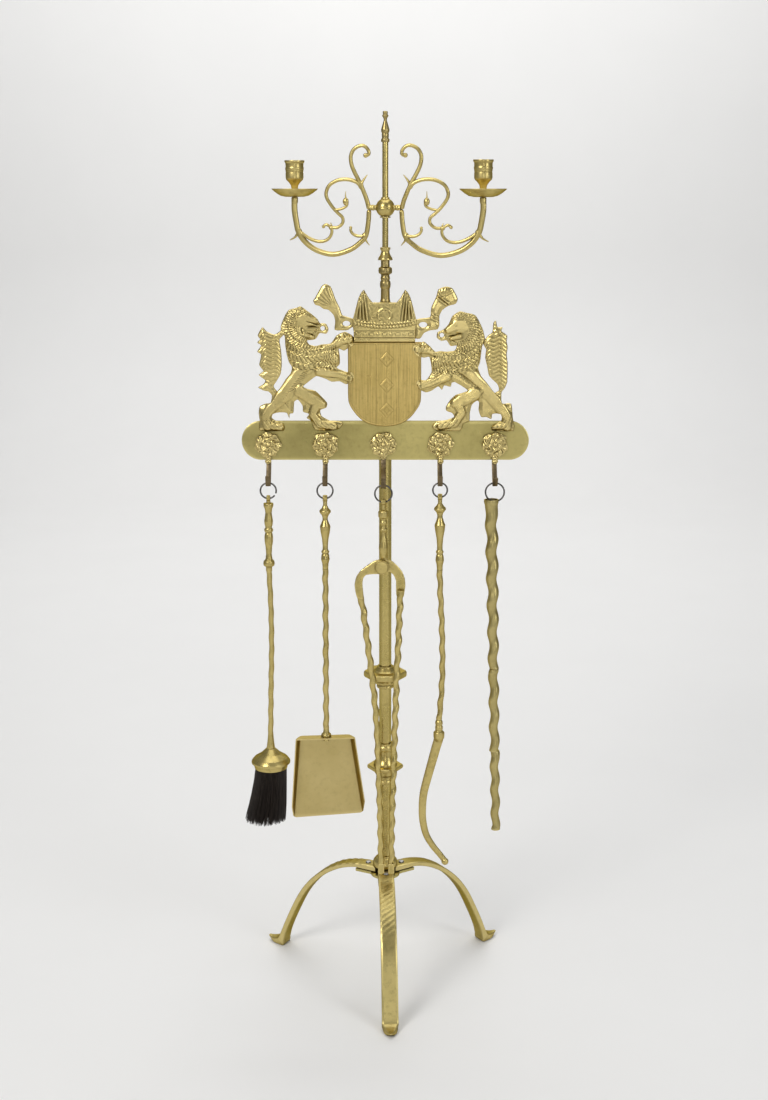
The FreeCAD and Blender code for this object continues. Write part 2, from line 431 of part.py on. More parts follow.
MAIN = [(23.4, 1122.5), (24.6, 1104.1), (28.2, 1085.7), (36.7, 1076.0), (51.2, 1066.1), (75.6, 1059.4), (99.8, 1064.9), (116.8, 1076.5),
        (126.4, 1090.3), (129.8, 1104.1), (132.4, 1122.5), (132.0, 1138.4)]
STEM = [(23.4, 1122.5), (26.9, 1136.3), (35.4, 1156.9), (43.7, 1172.9), (48.5, 1184.3), (49.7, 1195.7), (46.0, 1204.8), (38.8, 1209.8),
        (31.6, 1210.6), (25.4, 1206.0), (23.6, 1199.6), (28.0, 1196.4)]
INNER = [(124.0, 1090.3), (111.9, 1082.2), (98.6, 1077.6), (86.5, 1078.8), (79.2, 1085.7), (77.9, 1094.9), (84.9, 1101.0), (90.4, 1098.4)]
LOOP = [(77.9, 1097.2), (69.3, 1097.2), (62.1, 1103.0), (62.0, 1111.0), (69.3, 1117.9), (77.7, 1127.1), (84.9, 1138.6), (85.3, 1147.5),
        (80.0, 1156.9), (67.9, 1163.2), (53.4, 1164.0), (41.3, 1160.2), (35.4, 1154.6)]
BUD = [(72.9, 1121.5), (63.3, 1123.2), (56.0, 1127.5), (55.0, 1134.0), (57.4, 1140.0), (57.1, 1147.8)]
HOOKI = [(28.5, 1085.7), (39.1, 1085.2), (46.4, 1088.0), (50.0, 1092.6), (50.0, 1097.2)]
SPURO = [(126.6, 1091.0), (131.5, 1083.5), (139.8, 1078.8)]
SPURI = [(30.0, 1086.0), (27.5, 1078.5), (22.6, 1072.4)]
SPIKE = [(35.0, 1157.0), (31.5, 1163.0), (25.6, 1170.6)]


def arm(scale, reach):
    def sc(p):
        return [(23.4 + (x - 23.4) * scale, z) for x, z in p]
    s = ribbon(sc(MAIN), 6.4, 8.6, -3.3, 3.3)
    more = [ribbon(sc(STEM), 6.4, 4.8, -2.9, 2.9), ribbon(sc(INNER), 5.2, 4.0, -2.5, 2.5), ribbon(sc(LOOP), 4.4, 5.6, -2.5, 2.5),
            ribbon(sc(BUD), 3.8, 2.4, -2.2, 2.2), ribbon(sc(HOOKI), 4.8, 3.8, -2.3, 2.3), ribbon(sc(SPURO), 4.4, 1.6, -2.0, 2.0),
            ribbon(sc(SPURI), 3.8, 1.4, -2.0, 2.0), ribbon(sc(SPIKE), 4.4, 1.4, -2.0, 2.0),
            xcyl(4.0, 8.3, 22.2, 0, BALL_Z), cyl(4.6, 1131.0, 1139.6, reach, 0),
            Part.makeSphere(4.4, V(57.0, 0, 1133.0))]
    s = fuse(s, *more)
    return cut(s, cyl(2.0, 1133.0, 1150.0, reach, 0))


def pan(x):
    p = [(2.05, 1139.8), (13.0, 1139.8), (20.0, 1141.4), (26.0, 1145.0), (32.5, 1150.3), (PAN_R, 1151.5), (31.6, 1151.5), (25.6, 1146.6),
         (19.4, 1142.7), (12.6, 1141.2), (2.05, 1141.2)]
    return rev(p, x, 0)


def cup(x):
    zb = CUP_TOP - SOCKET_D
    p = [(0, 1134.0), (1.95, 1134.0), (1.95, 1141.4), (6.6, 1141.4), (6.8, 1143.2), (5.0, 1145.6), (4.5, 1151.0), (5.4, 1156.2), (8.6, 1160.6),
         (11.6, 1163.4), (12.6, 1166.0), (12.6, 1177.0), (13.1, 1178.4), (13.1, 1180.2), (12.6, 1181.6), (12.8, 1186.6), (14.1, 1188.6),
         (14.1, CUP_TOP), (SOCKET_R, CUP_TOP), (SOCKET_R, zb), (0, zb)]
    return rev(p, x, 0)


carriage = {}
carriage["ball"] = ball
sL, sR = (REACH_L - 23.4) / (132.0 - 23.4), (REACH_R - 23.4) / (132.0 - 23.4)
for side, turn, sc_, reach in (("left", 180.0, sL, REACH_L), ("right", 0.0, sR, REACH_R)):
    for nm, s in (("arm_" + side, arm(sc_, reach)), ("drip_pan_" + side, pan(reach)), ("candle_cup_" + side, cup(reach))):
        s.rotate(V(0, 0, 0), V(0, 0, 1), turn)
        carriage[nm] = s
screw = fuse(ycyl(1.92, 6.4, 14.8, 0, BALL_Z), ycyl(3.4, 14.6, 16.6, 0, BALL_Z), ycyl(6.4, 16.4, 20.4, 0, BALL_Z))
carriage["height_screw"] = screw
for nm, s in carriage.items():
    s.rotate(V(0, 0, 0), V(0, 0, 1), -YAW)
    put(nm, s)

# ================================================================ rings
for k, x in SLOT_X.items():
    put("ring_" + k, Part.makeTorus(RING_R[k], WIRE_R, V(x, SLOT_Y[k], RING_TOP - RING_R[k]), V(0, 1, 0)))


def eye(k, r_out=4.7, half=3.1, top_of_handle=709.0):
    """Rounded lug with a cross hole for the ring, standing on a short neck."""
    x, y = SLOT_X[k], SLOT_Y[k]
    z = RING_TOP - 2 * RING_R[k] + 0.25
    b = xcyl(r_out, x - half, x + half, y, z)
    neck = cyl(3.0, top_of_handle - 2.0, z - 1.0, x, y)
    s = fuse(b, neck)
    return s, xcyl(2.45, x - 10, x + 10, y, z)


# ================================================================ hearth brush
x, y = SLOT_X["brush"], SLOT_Y["brush"]
ey, hole = eye("brush", 4.5, 2.6, 711.5)
h = rev([(0, 613.0), (4.4, 613.0), (4.4, 619.5), (7.6, 621.5), (8.1, 624.8), (7.6, 628.0), (5.0, 630.5), (4.0, 638.0), (4.6, 648.0), (5.9, 656.0),
         (6.1, 662.0), (5.5, 667.0), (4.6, 669.2), (6.2, 671.0), (6.2, 674.2), (4.6, 676.2), (5.6, 680.5), (6.2, 685.5), (5.4, 691.0), (4.5, 697.5),
         (5.2, 703.0), (7.0, 707.5), (7.0, 711.5), (0, 711.5)], x, y)
put("brush_handle", cut(fuse(h, ey), hole))
put("brush_shaft", rev([(0, 352.0), (6.2, 352.0), (5.0, 360.0), (4.3, 370.0), (4.3, 376.0), (0, 376.0)], x, y))
OUT["brush_shaft"] = fuse(OUT["brush_shaft"], bowed([(x, y, 373.0), (x + 0.9, y, 430.0), (x + 2.5, y, 500.0), (x + 2.1, y, 560.0), (x, y, 613.0)], 3.7))
put("brush_cap", rev([(0, 347.2), (19.0, 323.0), (23.6, 323.0), (24.4, 330.0), (27.9, 330.4), (27.9, 333.6), (24.0, 338.5), (14.5, 344.5),
                      (6.6, 352.0), (0, 352.0)], x, y))
B0 = [(22.9, 322.8)]
c0 = Part.makeCircle(22.9, V(x, y, 322.8), V(0, 0, 1))
c1 = Part.makeCircle(25.0, V(x - 1.6, y, 300.0), V(0, 0, 1))
c2 = Part.makeCircle(30.6, V(x - 8.6, y, 245.0), V(0, 0, 1))
br_ = Part.makeLoft([Part.Wire([c]) for c in (c0, c1, c2)], True, False)
put("brush_bristles", solid_of(br_))

# ================================================================ shovel
x, y = SLOT_X["shovel"], SLOT_Y["shovel"]
ey, hole = eye("shovel", 4.7, 3.2, 708.0)
h = rev([(0, 616.0), (4.0, 616.0), (4.4, 624.0), (6.1, 630.5), (5.4, 637.0), (4.2, 638.8), (5.6, 640.3), (5.6, 642.2), (3.9, 644.0), (3.7, 650.0),
         (4.6, 660.0), (6.6, 670.0), (7.5, 678.0), (5.6, 682.5), (3.0, 687.0), (2.9, 690.5), (4.8, 694.0), (8.1, 698.5), (8.1, 700.5), (4.6, 704.5),
         (3.4, 708.0), (0, 708.0)], x, y)
put("shovel_handle", cut(fuse(h, ey), hole))
put("shovel_shaft", rev([(0, 362.4), (3.9, 363.2), (3.9, 366.2), (2.5, 366.2), (2.5, 370.0), (7.4, 370.0), (7.0, 373.0), (4.5, 375.5), (4.0, 380.0),
                         (4.0, 616.0), (0, 616.0)], x, y))


def hexa(b, f):
    """Closed six-sided body with triangulated faces from two four-corner ends."""
    q = [V(*p) for p in b + f]
    quads = [(0, 1, 2, 3), (4, 7, 6, 5), (0, 4, 5, 1), (1, 5, 6, 2), (2, 6, 7, 3), (3, 7, 4, 0)]
    faces = []
    for a, c, d, g in quads:
        faces.append(Part.Face(Part.makePolygon([q[a], q[c], q[d], q[a]])))
        faces.append(Part.Face(Part.makePolygon([q[a], q[d], q[g], q[a]])))
    s = Part.Solid(Part.Shell(faces))
    if s.Volume < 0:
        s.reverse()
    return s


yb_, yf_ = -24.2, -41.0
outer = hexa([(-122.5, yb_, 370.0), (-50.5, yb_, 370.0), (-33.0, yb_, 251.0), (-131.5, yb_, 247.0)],
             [(-128.0, yf_, 370.0), (-45.5, yf_, 370.0), (-31.4, yf_, 274.0), (-134.4, yf_, 269.0)])
inner = hexa([(-120.9, yb_ - 1.5, 367.8), (-52.1, yb_ - 1.5, 367.8), (-33.2, yb_ - 1.5, 236.0), (-131.2, yb_ - 1.5, 232.0)],
             [(-126.7, yf_ - 2.0, 367.8), (-46.8, yf_ - 2.0, 367.8), (-32.6, yf_ - 2.0, 259.5), (-133.2, yf_ - 2.0, 254.5)])
pan_s = cut(outer, inner, cyl(2.56, 350, 380, x, y))
pan_s.rotate(V(x, y, 0), V(0, 0, 1), 5.0)
put("shovel_pan", solid_of(pan_s))

# ================================================================ tongs
x, y = SLOT_X["tongs"], SLOT_Y["tongs"]
ZP = 624.0
PX = -5.0
ey, hole = eye("tongs", 4.7, 3.2, 704.0)
h = rev([(0, 636.0), (3.6, 636.0), (4.4, 641.0), (6.0, 646.0), (6.6, 652.0), (5.6, 660.0), (4.0, 668.0), (3.6, 674.0), (5.6, 676.0), (5.6, 678.4),
         (3.8, 680.4), (3.8, 684.0), (5.4, 686.0), (5.4, 688.2), (4.0, 690.4), (4.6, 693.0), (7.2, 695.5), (7.4, 703.0), (5.0, 705.0), (0, 705.0)], x, y)
tang = slab([(x - 3.6, 644.0), (x + 3.6, 644.0), (x + 4.4, 634.0), (PX + 8.0, 630.0), (PX + 8.6, 622.0), (PX + 5.5, 617.0), (PX, 615.4),
             (PX - 5.5, 617.0), (PX - 8.6, 622.0), (PX - 8.0, 630.0), (x - 4.4, 636.0)], y - 1.5, y + 1.5)
put("tongs_handle", cut(fuse(h, tang, ey), hole, ycyl(2.56, y - 6, y + 6, PX, ZP)))
piv = fuse(ycyl(2.5, y - 6.6, y + 6.6, PX, ZP), ycyl(10.3, y - 8.2, y - 6.3, PX, ZP), ycyl(4.2, y + 6.2, y + 7.6, PX, ZP))
put("tongs_pivot", piv)
TL = [(-36.8, 588.0), (-35.2, 580.0), (-31.8, 566.0), (-27.8, 536.0), (-24.4, 507.8), (-21.3, 484.4), (-17.5, 452.1), (-13.4, 409.2), (-11.4, 376.6), (-9.4, 312.5),
      (-8.0, 277.9), (-6.4, 208.5), (-5.8, 170.0)]
TR = [(21.8, 590.0), (20.8, 573.4), (19.6, 545.8), (18.3, 507.8), (15.9, 460.9), (15.0, 427.0), (13.4, 381.1), (11.4, 312.5), (10.2, 277.9),
      (9.2, 232.7), (8.6, 170.0)]


def tong(path, shoulder, ya, yb, sign):
    """Arm: round eye on the pivot, shoulder, then a long bar set in the tongs' mid plane."""
    s = slab(shoulder, ya, yb)
    e_ = ycyl(10.0, ya, yb, PX, ZP)
    leg_ = ribbon(path, 9.2, 8.0, y - 3.8, y + 3.8, 4)
    zt = path[-1][1]
    xt = path[-1][0]
    tip = slab([(xt - 4.6, zt + 16), (xt + 4.6, zt + 16), (xt + 4.6, zt + 2), (xt + 2.4, zt), (xt - 2.4, zt), (xt - 4.6, zt + 2)], y - 5.0, y + 5.0)
    s = fuse(s, e_, leg_, tip)
    return s


SHL = [(PX, 614.2), (PX - 3, 634.2), (-12.7, 634.0), (-21.5, 629.1), (-33.8, 619.8), (-40.9, 610.0), (-43.2, 599.2), (-42.2, 590.1), (-39.6, 580.0),
       (-31.0, 578.0), (-31.4, 590.9), (-32.1, 599.2), (-31.1, 608.2), (-26.8, 613.2), (-16.2, 614.4)]
SHR = [(PX, 614.2), (PX + 2, 634.2), (2.0, 634.0), (8.4, 631.6), (16.5, 624.6), (24.0, 615.4), (27.8, 604.6), (28.4, 595.6), (27.0, 586.0), (25.4, 579.0),
       (16.4, 579.0), (15.3, 588.0), (15.1, 593.8), (15.1, 602.8), (11.9, 611.0), (6.7, 615.6), (1.4, 615.6)]
tl = tong(TL, SHL, y - 6.1, y - 1.8, -1)
tr = tong(TR, SHR, y + 1.8, y + 6.1, 1)
# the two arms close on each other with a hair of air between them
midcut_l = Part.makeBox(60, 40, 480, V(1.25, y - 20, 150))
midcut_r = Part.makeBox(60, 40, 480, V(-58.35, y - 20, 150))
lowL = Part.makeBox(60, 40, 420, V(1.25, y - 20, 150))
tl = tl.cut(Part.makeBox(60, 40, 430, V(1.2, y - 20, 150)))
tr = tr.cut(Part.makeBox(60, 40, 430, V(-58.4, y - 20, 150)))
clearL = Part.makeBox(40, 4.0, 50, V(PX - 20, y - 1.75, 590))
put("tongs_arm_left", cut(solid_of(tl), ycyl(2.56, y - 10, y + 10, PX, ZP)))
put("tongs_arm_right", cut(solid_of(tr), ycyl(2.56, y - 10, y + 10, PX, ZP)))

# ================================================================ poker
x, y = SLOT_X["poker"], SLOT_Y["poker"]
ey, hole = eye("poker", 4.7, 3.2, 711.0)
h = rev([(0, 615.0), (4.0, 615.0), (4.4, 622.0), (6.1, 629.0), (5.2, 636.0), (4.2, 638.0), (5.4, 640.0), (5.4, 642.0), (4.0, 644.0), (3.9, 650.0),
         (4.8, 661.0), (6.8, 672.0), (7.7, 680.0), (5.6, 685.0), (3.2, 690.5), (3.0, 694.0), (5.0, 698.0), (8.4, 702.0), (8.4, 704.2), (5.0, 708.0),
         (3.4, 711.0), (0, 711.0)], x, y)
put("poker_handle", cut(fuse(h, ey), hole))
sh = rev([(0, 362.0), (4.6, 362.0), (7.8, 368.0), (8.0, 375.5), (5.0, 378.5), (5.6, 381.0), (5.6, 384.0), (4.6, 386.0), (5.4, 388.0), (5.4, 391.5),
          (4.0, 394.0), (4.0, 615.0), (0, 615.0)], x, y)
BL = [(77.6, 368.0), (73.0, 351.9), (67.0, 329.3), (60.8, 306.0), (55.4, 282.6), (53.8, 259.9), (54.9, 240.1), (59.8, 220.5), (69.2, 204.0), (80.2, 190.0),
      (86.4, 181.6)]
blade = ribbon(BL, 13.6, 8.4, y - 2.6, y + 2.6, 4)
knob = Part.makeSphere(5.2, V(87.0, y, 180.2))
put("poker_shaft", fuse(sh, blade, knob))

# ================================================================ blow pipe
x, y = SLOT_X["pipe"], SLOT_Y["pipe"]
PTX, PBX, PZT, PZB = 149.6, 160.2, 716.6, 229.5
LEAN = math.degrees(math.atan((PBX - PTX) / (PZT - PZB)))


def pipe_piece(outer_pts, inner_pts):
    s = rev(outer_pts + inner_pts[::-1])
    s.rotate(V(0, 0, PZT), V(0, 1, 0), -LEAN)
    s.translate(V(PTX, y, 0))
    return s


up = pipe_piece([(10.2, 716.6), (10.4, 715.0), (10.3, 712.4), (9.2, 709.0), (8.9, 640.0), (8.2, 560.0), (7.6, 470.0)],
                [(8.7, 716.6), (8.7, 709.5), (7.2, 704.0), (6.9, 640.0), (6.2, 560.0), (5.6, 470.0)])
zh = RING_TOP - 2 * RING_R["pipe"] + 0.35
up = cut(up, xcyl(2.6, x - 1.5, x + 12, y, zh), ycyl(1.6, y - 12, y, PTX + 2.4, 596.0))
put("pipe_upper", up)
put("pipe_middle", pipe_piece([(7.6, 469.9), (8.0, 466.0), (7.5, 462.0), (7.2, 348.0)], [(5.6, 469.9), (5.0, 440.0), (4.9, 348.0)]))
put("pipe_lower", pipe_piece([(7.2, 347.9), (7.5, 344.0), (7.0, 340.0), (6.6, 240.0), (6.5, 229.5)], [(4.9, 347.9), (4.5, 320.0), (4.4, 229.5)]))

# ================================================================ export
for name, s in OUT.items():
    s = s.copy()
    s.translate(V(0, SHIFT_Y, 0))
    if not s.isValid():
        print("INVALID", name)
    s.exportStep("parts/%s.step" % name)
allb = FreeCAD.BoundBox()
for name, s in OUT.items():
    allb.add(s.BoundBox)
print(len(OUT), "nodes; box x %.1f..%.1f y %.1f..%.1f z %.1f..%.1f" % (allb.XMin, allb.XMax, allb.YMin + SHIFT_Y, allb.YMax + SHIFT_Y, allb.ZMin, allb.ZMax))
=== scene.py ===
import bpy
import math
import random
import numpy as np
from mathutils import Vector, Matrix, noise


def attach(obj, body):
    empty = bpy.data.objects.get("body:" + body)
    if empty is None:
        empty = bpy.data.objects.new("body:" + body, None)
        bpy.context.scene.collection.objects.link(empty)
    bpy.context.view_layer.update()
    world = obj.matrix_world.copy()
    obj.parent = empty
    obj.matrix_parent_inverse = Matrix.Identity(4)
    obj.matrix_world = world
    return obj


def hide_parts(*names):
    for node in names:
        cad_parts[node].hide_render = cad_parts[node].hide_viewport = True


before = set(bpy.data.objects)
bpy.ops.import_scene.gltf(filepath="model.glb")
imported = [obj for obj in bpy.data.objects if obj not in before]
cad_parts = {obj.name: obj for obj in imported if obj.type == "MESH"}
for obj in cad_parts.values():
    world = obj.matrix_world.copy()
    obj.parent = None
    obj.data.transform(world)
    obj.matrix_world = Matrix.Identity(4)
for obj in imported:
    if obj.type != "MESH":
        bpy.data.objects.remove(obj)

random.seed(7)
RNG = np.random.default_rng(11)
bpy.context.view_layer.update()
SC = bpy.context.scene
SY = 46.9                      # mm: the column stands this far behind the frame's origin
YAW = math.radians(14.0)


# ------------------------------------------------------------------ camera, light, stage
def make_camera():
    cam = bpy.data.cameras.new("cam")
    cam.sensor_fit = "AUTO"
    cam.sensor_width = 36.0
    cam.lens = 1600.0 / 1100.0 * 36.0
    cam.shift_y = -143.0 / 1100.0
    cam.shift_x = 0.0
    cam.clip_end = 50.0
    ob = bpy.data.objects.new("cam", cam)
    ob.location = (-0.0018, -2.250 + SY / 1000.0, 1.1522)
    ob.rotation_euler = (math.radians(90.0 - 7.794), 0.0, 0.0)
    SC.collection.objects.link(ob)
    SC.camera = ob


make_camera()
SC.view_settings.view_transform = "Standard"
SC.view_settings.look = "None"


def area(name, loc, target, size, power, color=(1, 1, 1), size_y=None):
    li = bpy.data.lights.new(name, "AREA")
    li.energy = power
    li.color = color
    li.shape = "RECTANGLE"
    li.size = size
    li.size_y = size_y or size
    ob = bpy.data.objects.new(name, li)
    ob.location = loc
    d = Vector(target) - Vector(loc)
    ob.rotation_euler = d.to_track_quat("-Z", "Y").to_euler()
    ob.visible_camera = False
    SC.collection.objects.link(ob)
    return ob


area("key", (-1.7, -2.2, 2.5), (0, 0, 0.7), 1.1, 43.0, (1.0, 0.985, 0.96), 1.5)
area("fill", (2.1, -1.9, 1.7), (0, 0, 0.6), 0.9, 18.0, (0.97, 0.985, 1.0), 1.8)
area("top", (0.0, 1.1, 3.2), (0, 1.1, 0.0), 2.2, 44.0, (1.0, 1.0, 1.0), 3.8)
area("front", (0.2, -3.4, 1.0), (0, 0, 0.5), 0.6, 6.5, (1.0, 1.0, 1.0), 1.6)
area("back", (0.0, 2.9, 3.4), (0, 4.4, 1.0), 4.6, 46.0, (1.0, 1.0, 1.0), 0.9)

w = bpy.data.worlds.new("world")
SC.world = w
w.use_nodes = True
w.node_tree.nodes["Background"].inputs["Color"].default_value = (0.86, 0.87, 0.88, 1)
w.node_tree.nodes["Background"].inputs["Strength"].default_value = 0.31


def nt(mat):
    mat.use_nodes = True
    t = mat.node_tree
    t.nodes.clear()
    out = t.nodes.new("ShaderNodeOutputMaterial")
    b = t.nodes.new("ShaderNodeBsdfPrincipled")
    t.links.new(b.outputs["BSDF"], out.inputs["Surface"])
    return t, b


def N(t, kind, **kw):
    n = t.nodes.new(kind)
    for k, v in kw.items():
        setattr(n, k, v)
    return n


def ramp(t, src, stops):
    r = N(t, "ShaderNodeValToRGB")
    el = r.color_ramp.elements
    while len(el) > 1:
        el.remove(el[-1])
    el[0].position = stops[0][0]
    el[0].color = stops[0][1]
    for p, c in stops[1:]:
        e = el.new(p)
        e.color = c
    t.links.new(src, r.inputs["Fac"])
    return r


def g(v):
    return (v, v, v, 1)


def mixrgb(t, fac, a, b, blend="MIX"):
    m = N(t, "ShaderNodeMix", data_type="RGBA", blend_type=blend)
    if isinstance(fac, (int, float)):
        m.inputs[0].default_value = fac
    else:
        t.links.new(fac, m.inputs[0])
    for sock, v in ((6, a), (7, b)):
        if isinstance(v, tuple):
            m.inputs[sock].default_value = v
        else:
            t.links.new(v, m.inputs[sock])
    return m.outputs[2]


def math_(t, op, a, b=None, clamp=False):
    m = N(t, "ShaderNodeMath", operation=op, use_clamp=clamp)
    for i, v in enumerate((a, b)):
        if v is None:
            continue
        if isinstance(v, (int, float)):
            m.inputs[i].default_value = v
        else:
            t.links.new(v, m.inputs[i])
    return m.outputs[0]


def noise_(t, vec, scale, detail=4.0, rough=0.55):
    n = N(t, "ShaderNodeTexNoise")
    n.inputs["Scale"].default_value = scale
    n.inputs["Detail"].default_value = detail
    n.inputs["Roughness"].default_value = rough
    t.links.new(vec, n.inputs["Vector"])
    return n.outputs["Fac"]


def coords(t, scale=(1, 1, 1)):
    c = N(t, "ShaderNodeTexCoord")
    if scale == (1, 1, 1):
        return c.outputs["Object"]
    m = N(t, "ShaderNodeMapping")
    m.inputs["Scale"].default_value = scale
    t.links.new(c.outputs["Object"], m.inputs["Vector"])
    return m.outputs["Vector"]


def brass(name, light, mid, dark, rough=(0.22, 0.42), tarnish=0.5, brush=None, brush_amt=0.0, pits=0.15, recess_patina_and_shade=0.55, bump=0.12, streak=0.0, cloud=22.0):
    """Aged brass: cloudy tarnish, patina darkening the hollows plus painted shade from an occlusion mask, brighter
    rubbed edges, painted reflection shade towards the outline at grazing angles, fine scratches and pits.
    """
    mat = bpy.data.materials.new(name)
    t, b = nt(mat)
    b.inputs["Metallic"].default_value = 1.0
    vec = coords(t)
    big = noise_(t, vec, cloud, 5.0, 0.6)
    small = noise_(t, vec, 160.0, 4.0, 0.65)
    fine = noise_(t, vec, 900.0, 2.0, 0.5)
    patch = ramp(t, big, [(0.30, g(0.0)), (0.72, g(1.0))]).outputs["Color"]
    spots = ramp(t, small, [(0.52, g(0.0)), (0.74, g(1.0))]).outputs["Color"]
    col = mixrgb(t, patch, mid + (1,), light + (1,))
    spotfac = math_(t, "MULTIPLY", spots, tarnish * 0.75)
    col = mixrgb(t, spotfac, col, dark + (1,))
    if streak:
        sn = noise_(t, coords(t, brush), 60.0, 3.0, 0.7)
        sf = ramp(t, sn, [(0.42, g(0.0)), (0.66, g(1.0))]).outputs["Color"]
        col = mixrgb(t, math_(t, "MULTIPLY", sf, streak), col, dark + (1,))
    geo = N(t, "ShaderNodeNewGeometry")
    edge = ramp(t, geo.outputs["Pointiness"], [(0.44, g(0.0)), (0.50, g(0.5)), (0.56, g(1.0))]).outputs["Color"]
    inv = math_(t, "SUBTRACT", 0.5, edge, True)
    inv = math_(t, "MULTIPLY", inv, 2.0 * recess_patina_and_shade, True)
    col = mixrgb(t, inv, col, dark + (1,))
    ed = math_(t, "SUBTRACT", edge, 0.5, True)
    ed = math_(t, "MULTIPLY", ed, 1.1, True)
    lighter = tuple(min(1.0, c * 1.25 + 0.03) for c in light)
    col = mixrgb(t, ed, col, lighter + (1,))
    # Painted shade: an ambient-occlusion mask darkens the colour in hollows and where parts meet, on top of the patina
    # above.
    ao = N(t, "ShaderNodeAmbientOcclusion")
    ao.inputs["Distance"].default_value = 0.006
    ao.samples = 4
    shade = ramp(t, ao.outputs["AO"], [(0.25, g(1.0)), (0.85, g(0.0))]).outputs["Color"]
    shade = math_(t, "MULTIPLY", shade, recess_patina_and_shade)
    col = mixrgb(t, shade, col, dark + (1,))
    # Painted reflection shade: the colour darkens towards the outline at grazing angles, standing in for the dim room
    # reflected in the sides of round parts.
    lw = N(t, "ShaderNodeLayerWeight")
    lw.inputs["Blend"].default_value = 0.5
    rim = math_(t, "MULTIPLY", math_(t, "POWER", lw.outputs["Facing"], 2.4), 0.75, True)
    col = mixrgb(t, rim, col, tuple(0.55 * c for c in mid) + (1,))
    t.links.new(col, b.inputs["Base Color"])
    b.inputs["Specular Tint"].default_value = (0.50, 0.42, 0.22, 1)
    rr = N(t, "ShaderNodeMapRange")
    rr.inputs["To Min"].default_value = rough[0]
    rr.inputs["To Max"].default_value = rough[1]
    mixn = math_(t, "MULTIPLY", math_(t, "ADD", big, small), 0.5)
    t.links.new(mixn, rr.inputs["Value"])
    rr.inputs["From Min"].default_value = 0.32
    rr.inputs["From Max"].default_value = 0.68
    t.links.new(rr.outputs[0], b.inputs["Roughness"])
    h = math_(t, "ADD", math_(t, "MULTIPLY", small, 0.5), math_(t, "MULTIPLY", fine, pits))
    if brush:
        bn = noise_(t, coords(t, brush), 60.0, 3.0, 0.7)
        h = math_(t, "ADD", h, math_(t, "MULTIPLY", bn, brush_amt))
    bp = N(t, "ShaderNodeBump")
    bp.inputs["Strength"].default_value = bump
    bp.inputs["Distance"].default_value = 0.0012
    t.links.new(h, bp.inputs["Height"])
    t.links.new(bp.outputs["Normal"], b.inputs["Normal"])
    return mat


M = {}
M["brass"] = brass("brass_aged", (0.64, 0.515, 0.20), (0.50, 0.395, 0.135), (0.13, 0.095, 0.03), bump=0.08)
M["brass_rod"] = brass("brass_rod", (0.61, 0.495, 0.185), (0.48, 0.385, 0.13), (0.17, 0.125, 0.045), rough=(0.20, 0.36), tarnish=0.22, brush=(4.0, 4.0, 0.3), brush_amt=0.5, pits=0.05, bump=0.05)
M["brass_satin"] = brass("brass_satin", (0.60, 0.51, 0.195), (0.37, 0.31, 0.11), (0.22, 0.17, 0.058), rough=(0.26, 0.44), tarnish=0.35, brush=(12.0, 1.0, 0.6), brush_amt=0.8, bump=0.08, cloud=11.0)
M["brass_leg"] = brass("brass_leg", (0.61, 0.50, 0.205), (0.46, 0.375, 0.14), (0.15, 0.11, 0.04), rough=(0.26, 0.46), tarnish=0.55, pits=0.4, bump=0.2)
M["brass_dark"] = brass("brass_dark", (0.50, 0.395, 0.16), (0.34, 0.26, 0.10), (0.09, 0.065, 0.025), rough=(0.25, 0.45), tarnish=0.75)
M["brass_cast"] = brass("brass_cast", (0.72, 0.585, 0.25), (0.57, 0.45, 0.17), (0.10, 0.072, 0.022), rough=(0.20, 0.40), tarnish=0.30, recess_patina_and_shade=0.9, bump=0.16)
M["brass_shield"] = brass("brass_shield", (0.70, 0.525, 0.185), (0.57, 0.42, 0.135), (0.24, 0.165, 0.05), rough=(0.25, 0.42), tarnish=0.35, brush=(9.0, 1.0, 0.22), brush_amt=1.6, recess_patina_and_shade=0.7, streak=0.42)
M["strap"] = brass("strap_brown", (0.34, 0.26, 0.15), (0.22, 0.165, 0.09), (0.06, 0.045, 0.027), rough=(0.32, 0.52), tarnish=0.9)
M["pipe"] = brass("brass_pipe", (0.56, 0.465, 0.195), (0.43, 0.35, 0.135), (0.17, 0.13, 0.05), rough=(0.26, 0.44), tarnish=0.45)
M["pan"] = brass("brass_pan", (0.62, 0.50, 0.22), (0.52, 0.41, 0.165), (0.30, 0.225, 0.09), rough=(0.28, 0.44), tarnish=0.25, brush=(2.0, 1.0, 9.0), brush_amt=0.6, bump=0.08)


def steel(name, col, dark, rough=(0.3, 0.5)):
    mat = bpy.data.materials.new(name)
    t, b = nt(mat)
    b.inputs["Metallic"].default_value = 1.0
    vec = coords(t)
    n1 = noise_(t, vec, 120.0, 4.0, 0.6)
    c = ramp(t, n1, [(0.35, dark + (1,)), (0.68, col + (1,))]).outputs["Color"]
    t.links.new(c, b.inputs["Base Color"])
    rr = N(t, "ShaderNodeMapRange")
    rr.inputs["To Min"].default_value = rough[0]
    rr.inputs["To Max"].default_value = rough[1]
    t.links.new(n1, rr.inputs["Value"])
    t.links.new(rr.outputs[0], b.inputs["Roughness"])
    bp = N(t, "ShaderNodeBump")
    bp.inputs["Strength"].default_value = 0.15
    bp.inputs["Distance"].default_value = 0.0006
    t.links.new(noise_(t, vec, 700.0, 2.0), bp.inputs["Height"])
    t.links.new(bp.outputs["Normal"], b.inputs["Normal"])
    return mat


M["wire"] = steel("steel_wire", (0.20, 0.19, 0.18), (0.07, 0.065, 0.06))
M["steel"] = steel("steel_plain", (0.5, 0.49, 0.47), (0.3, 0.29, 0.27))


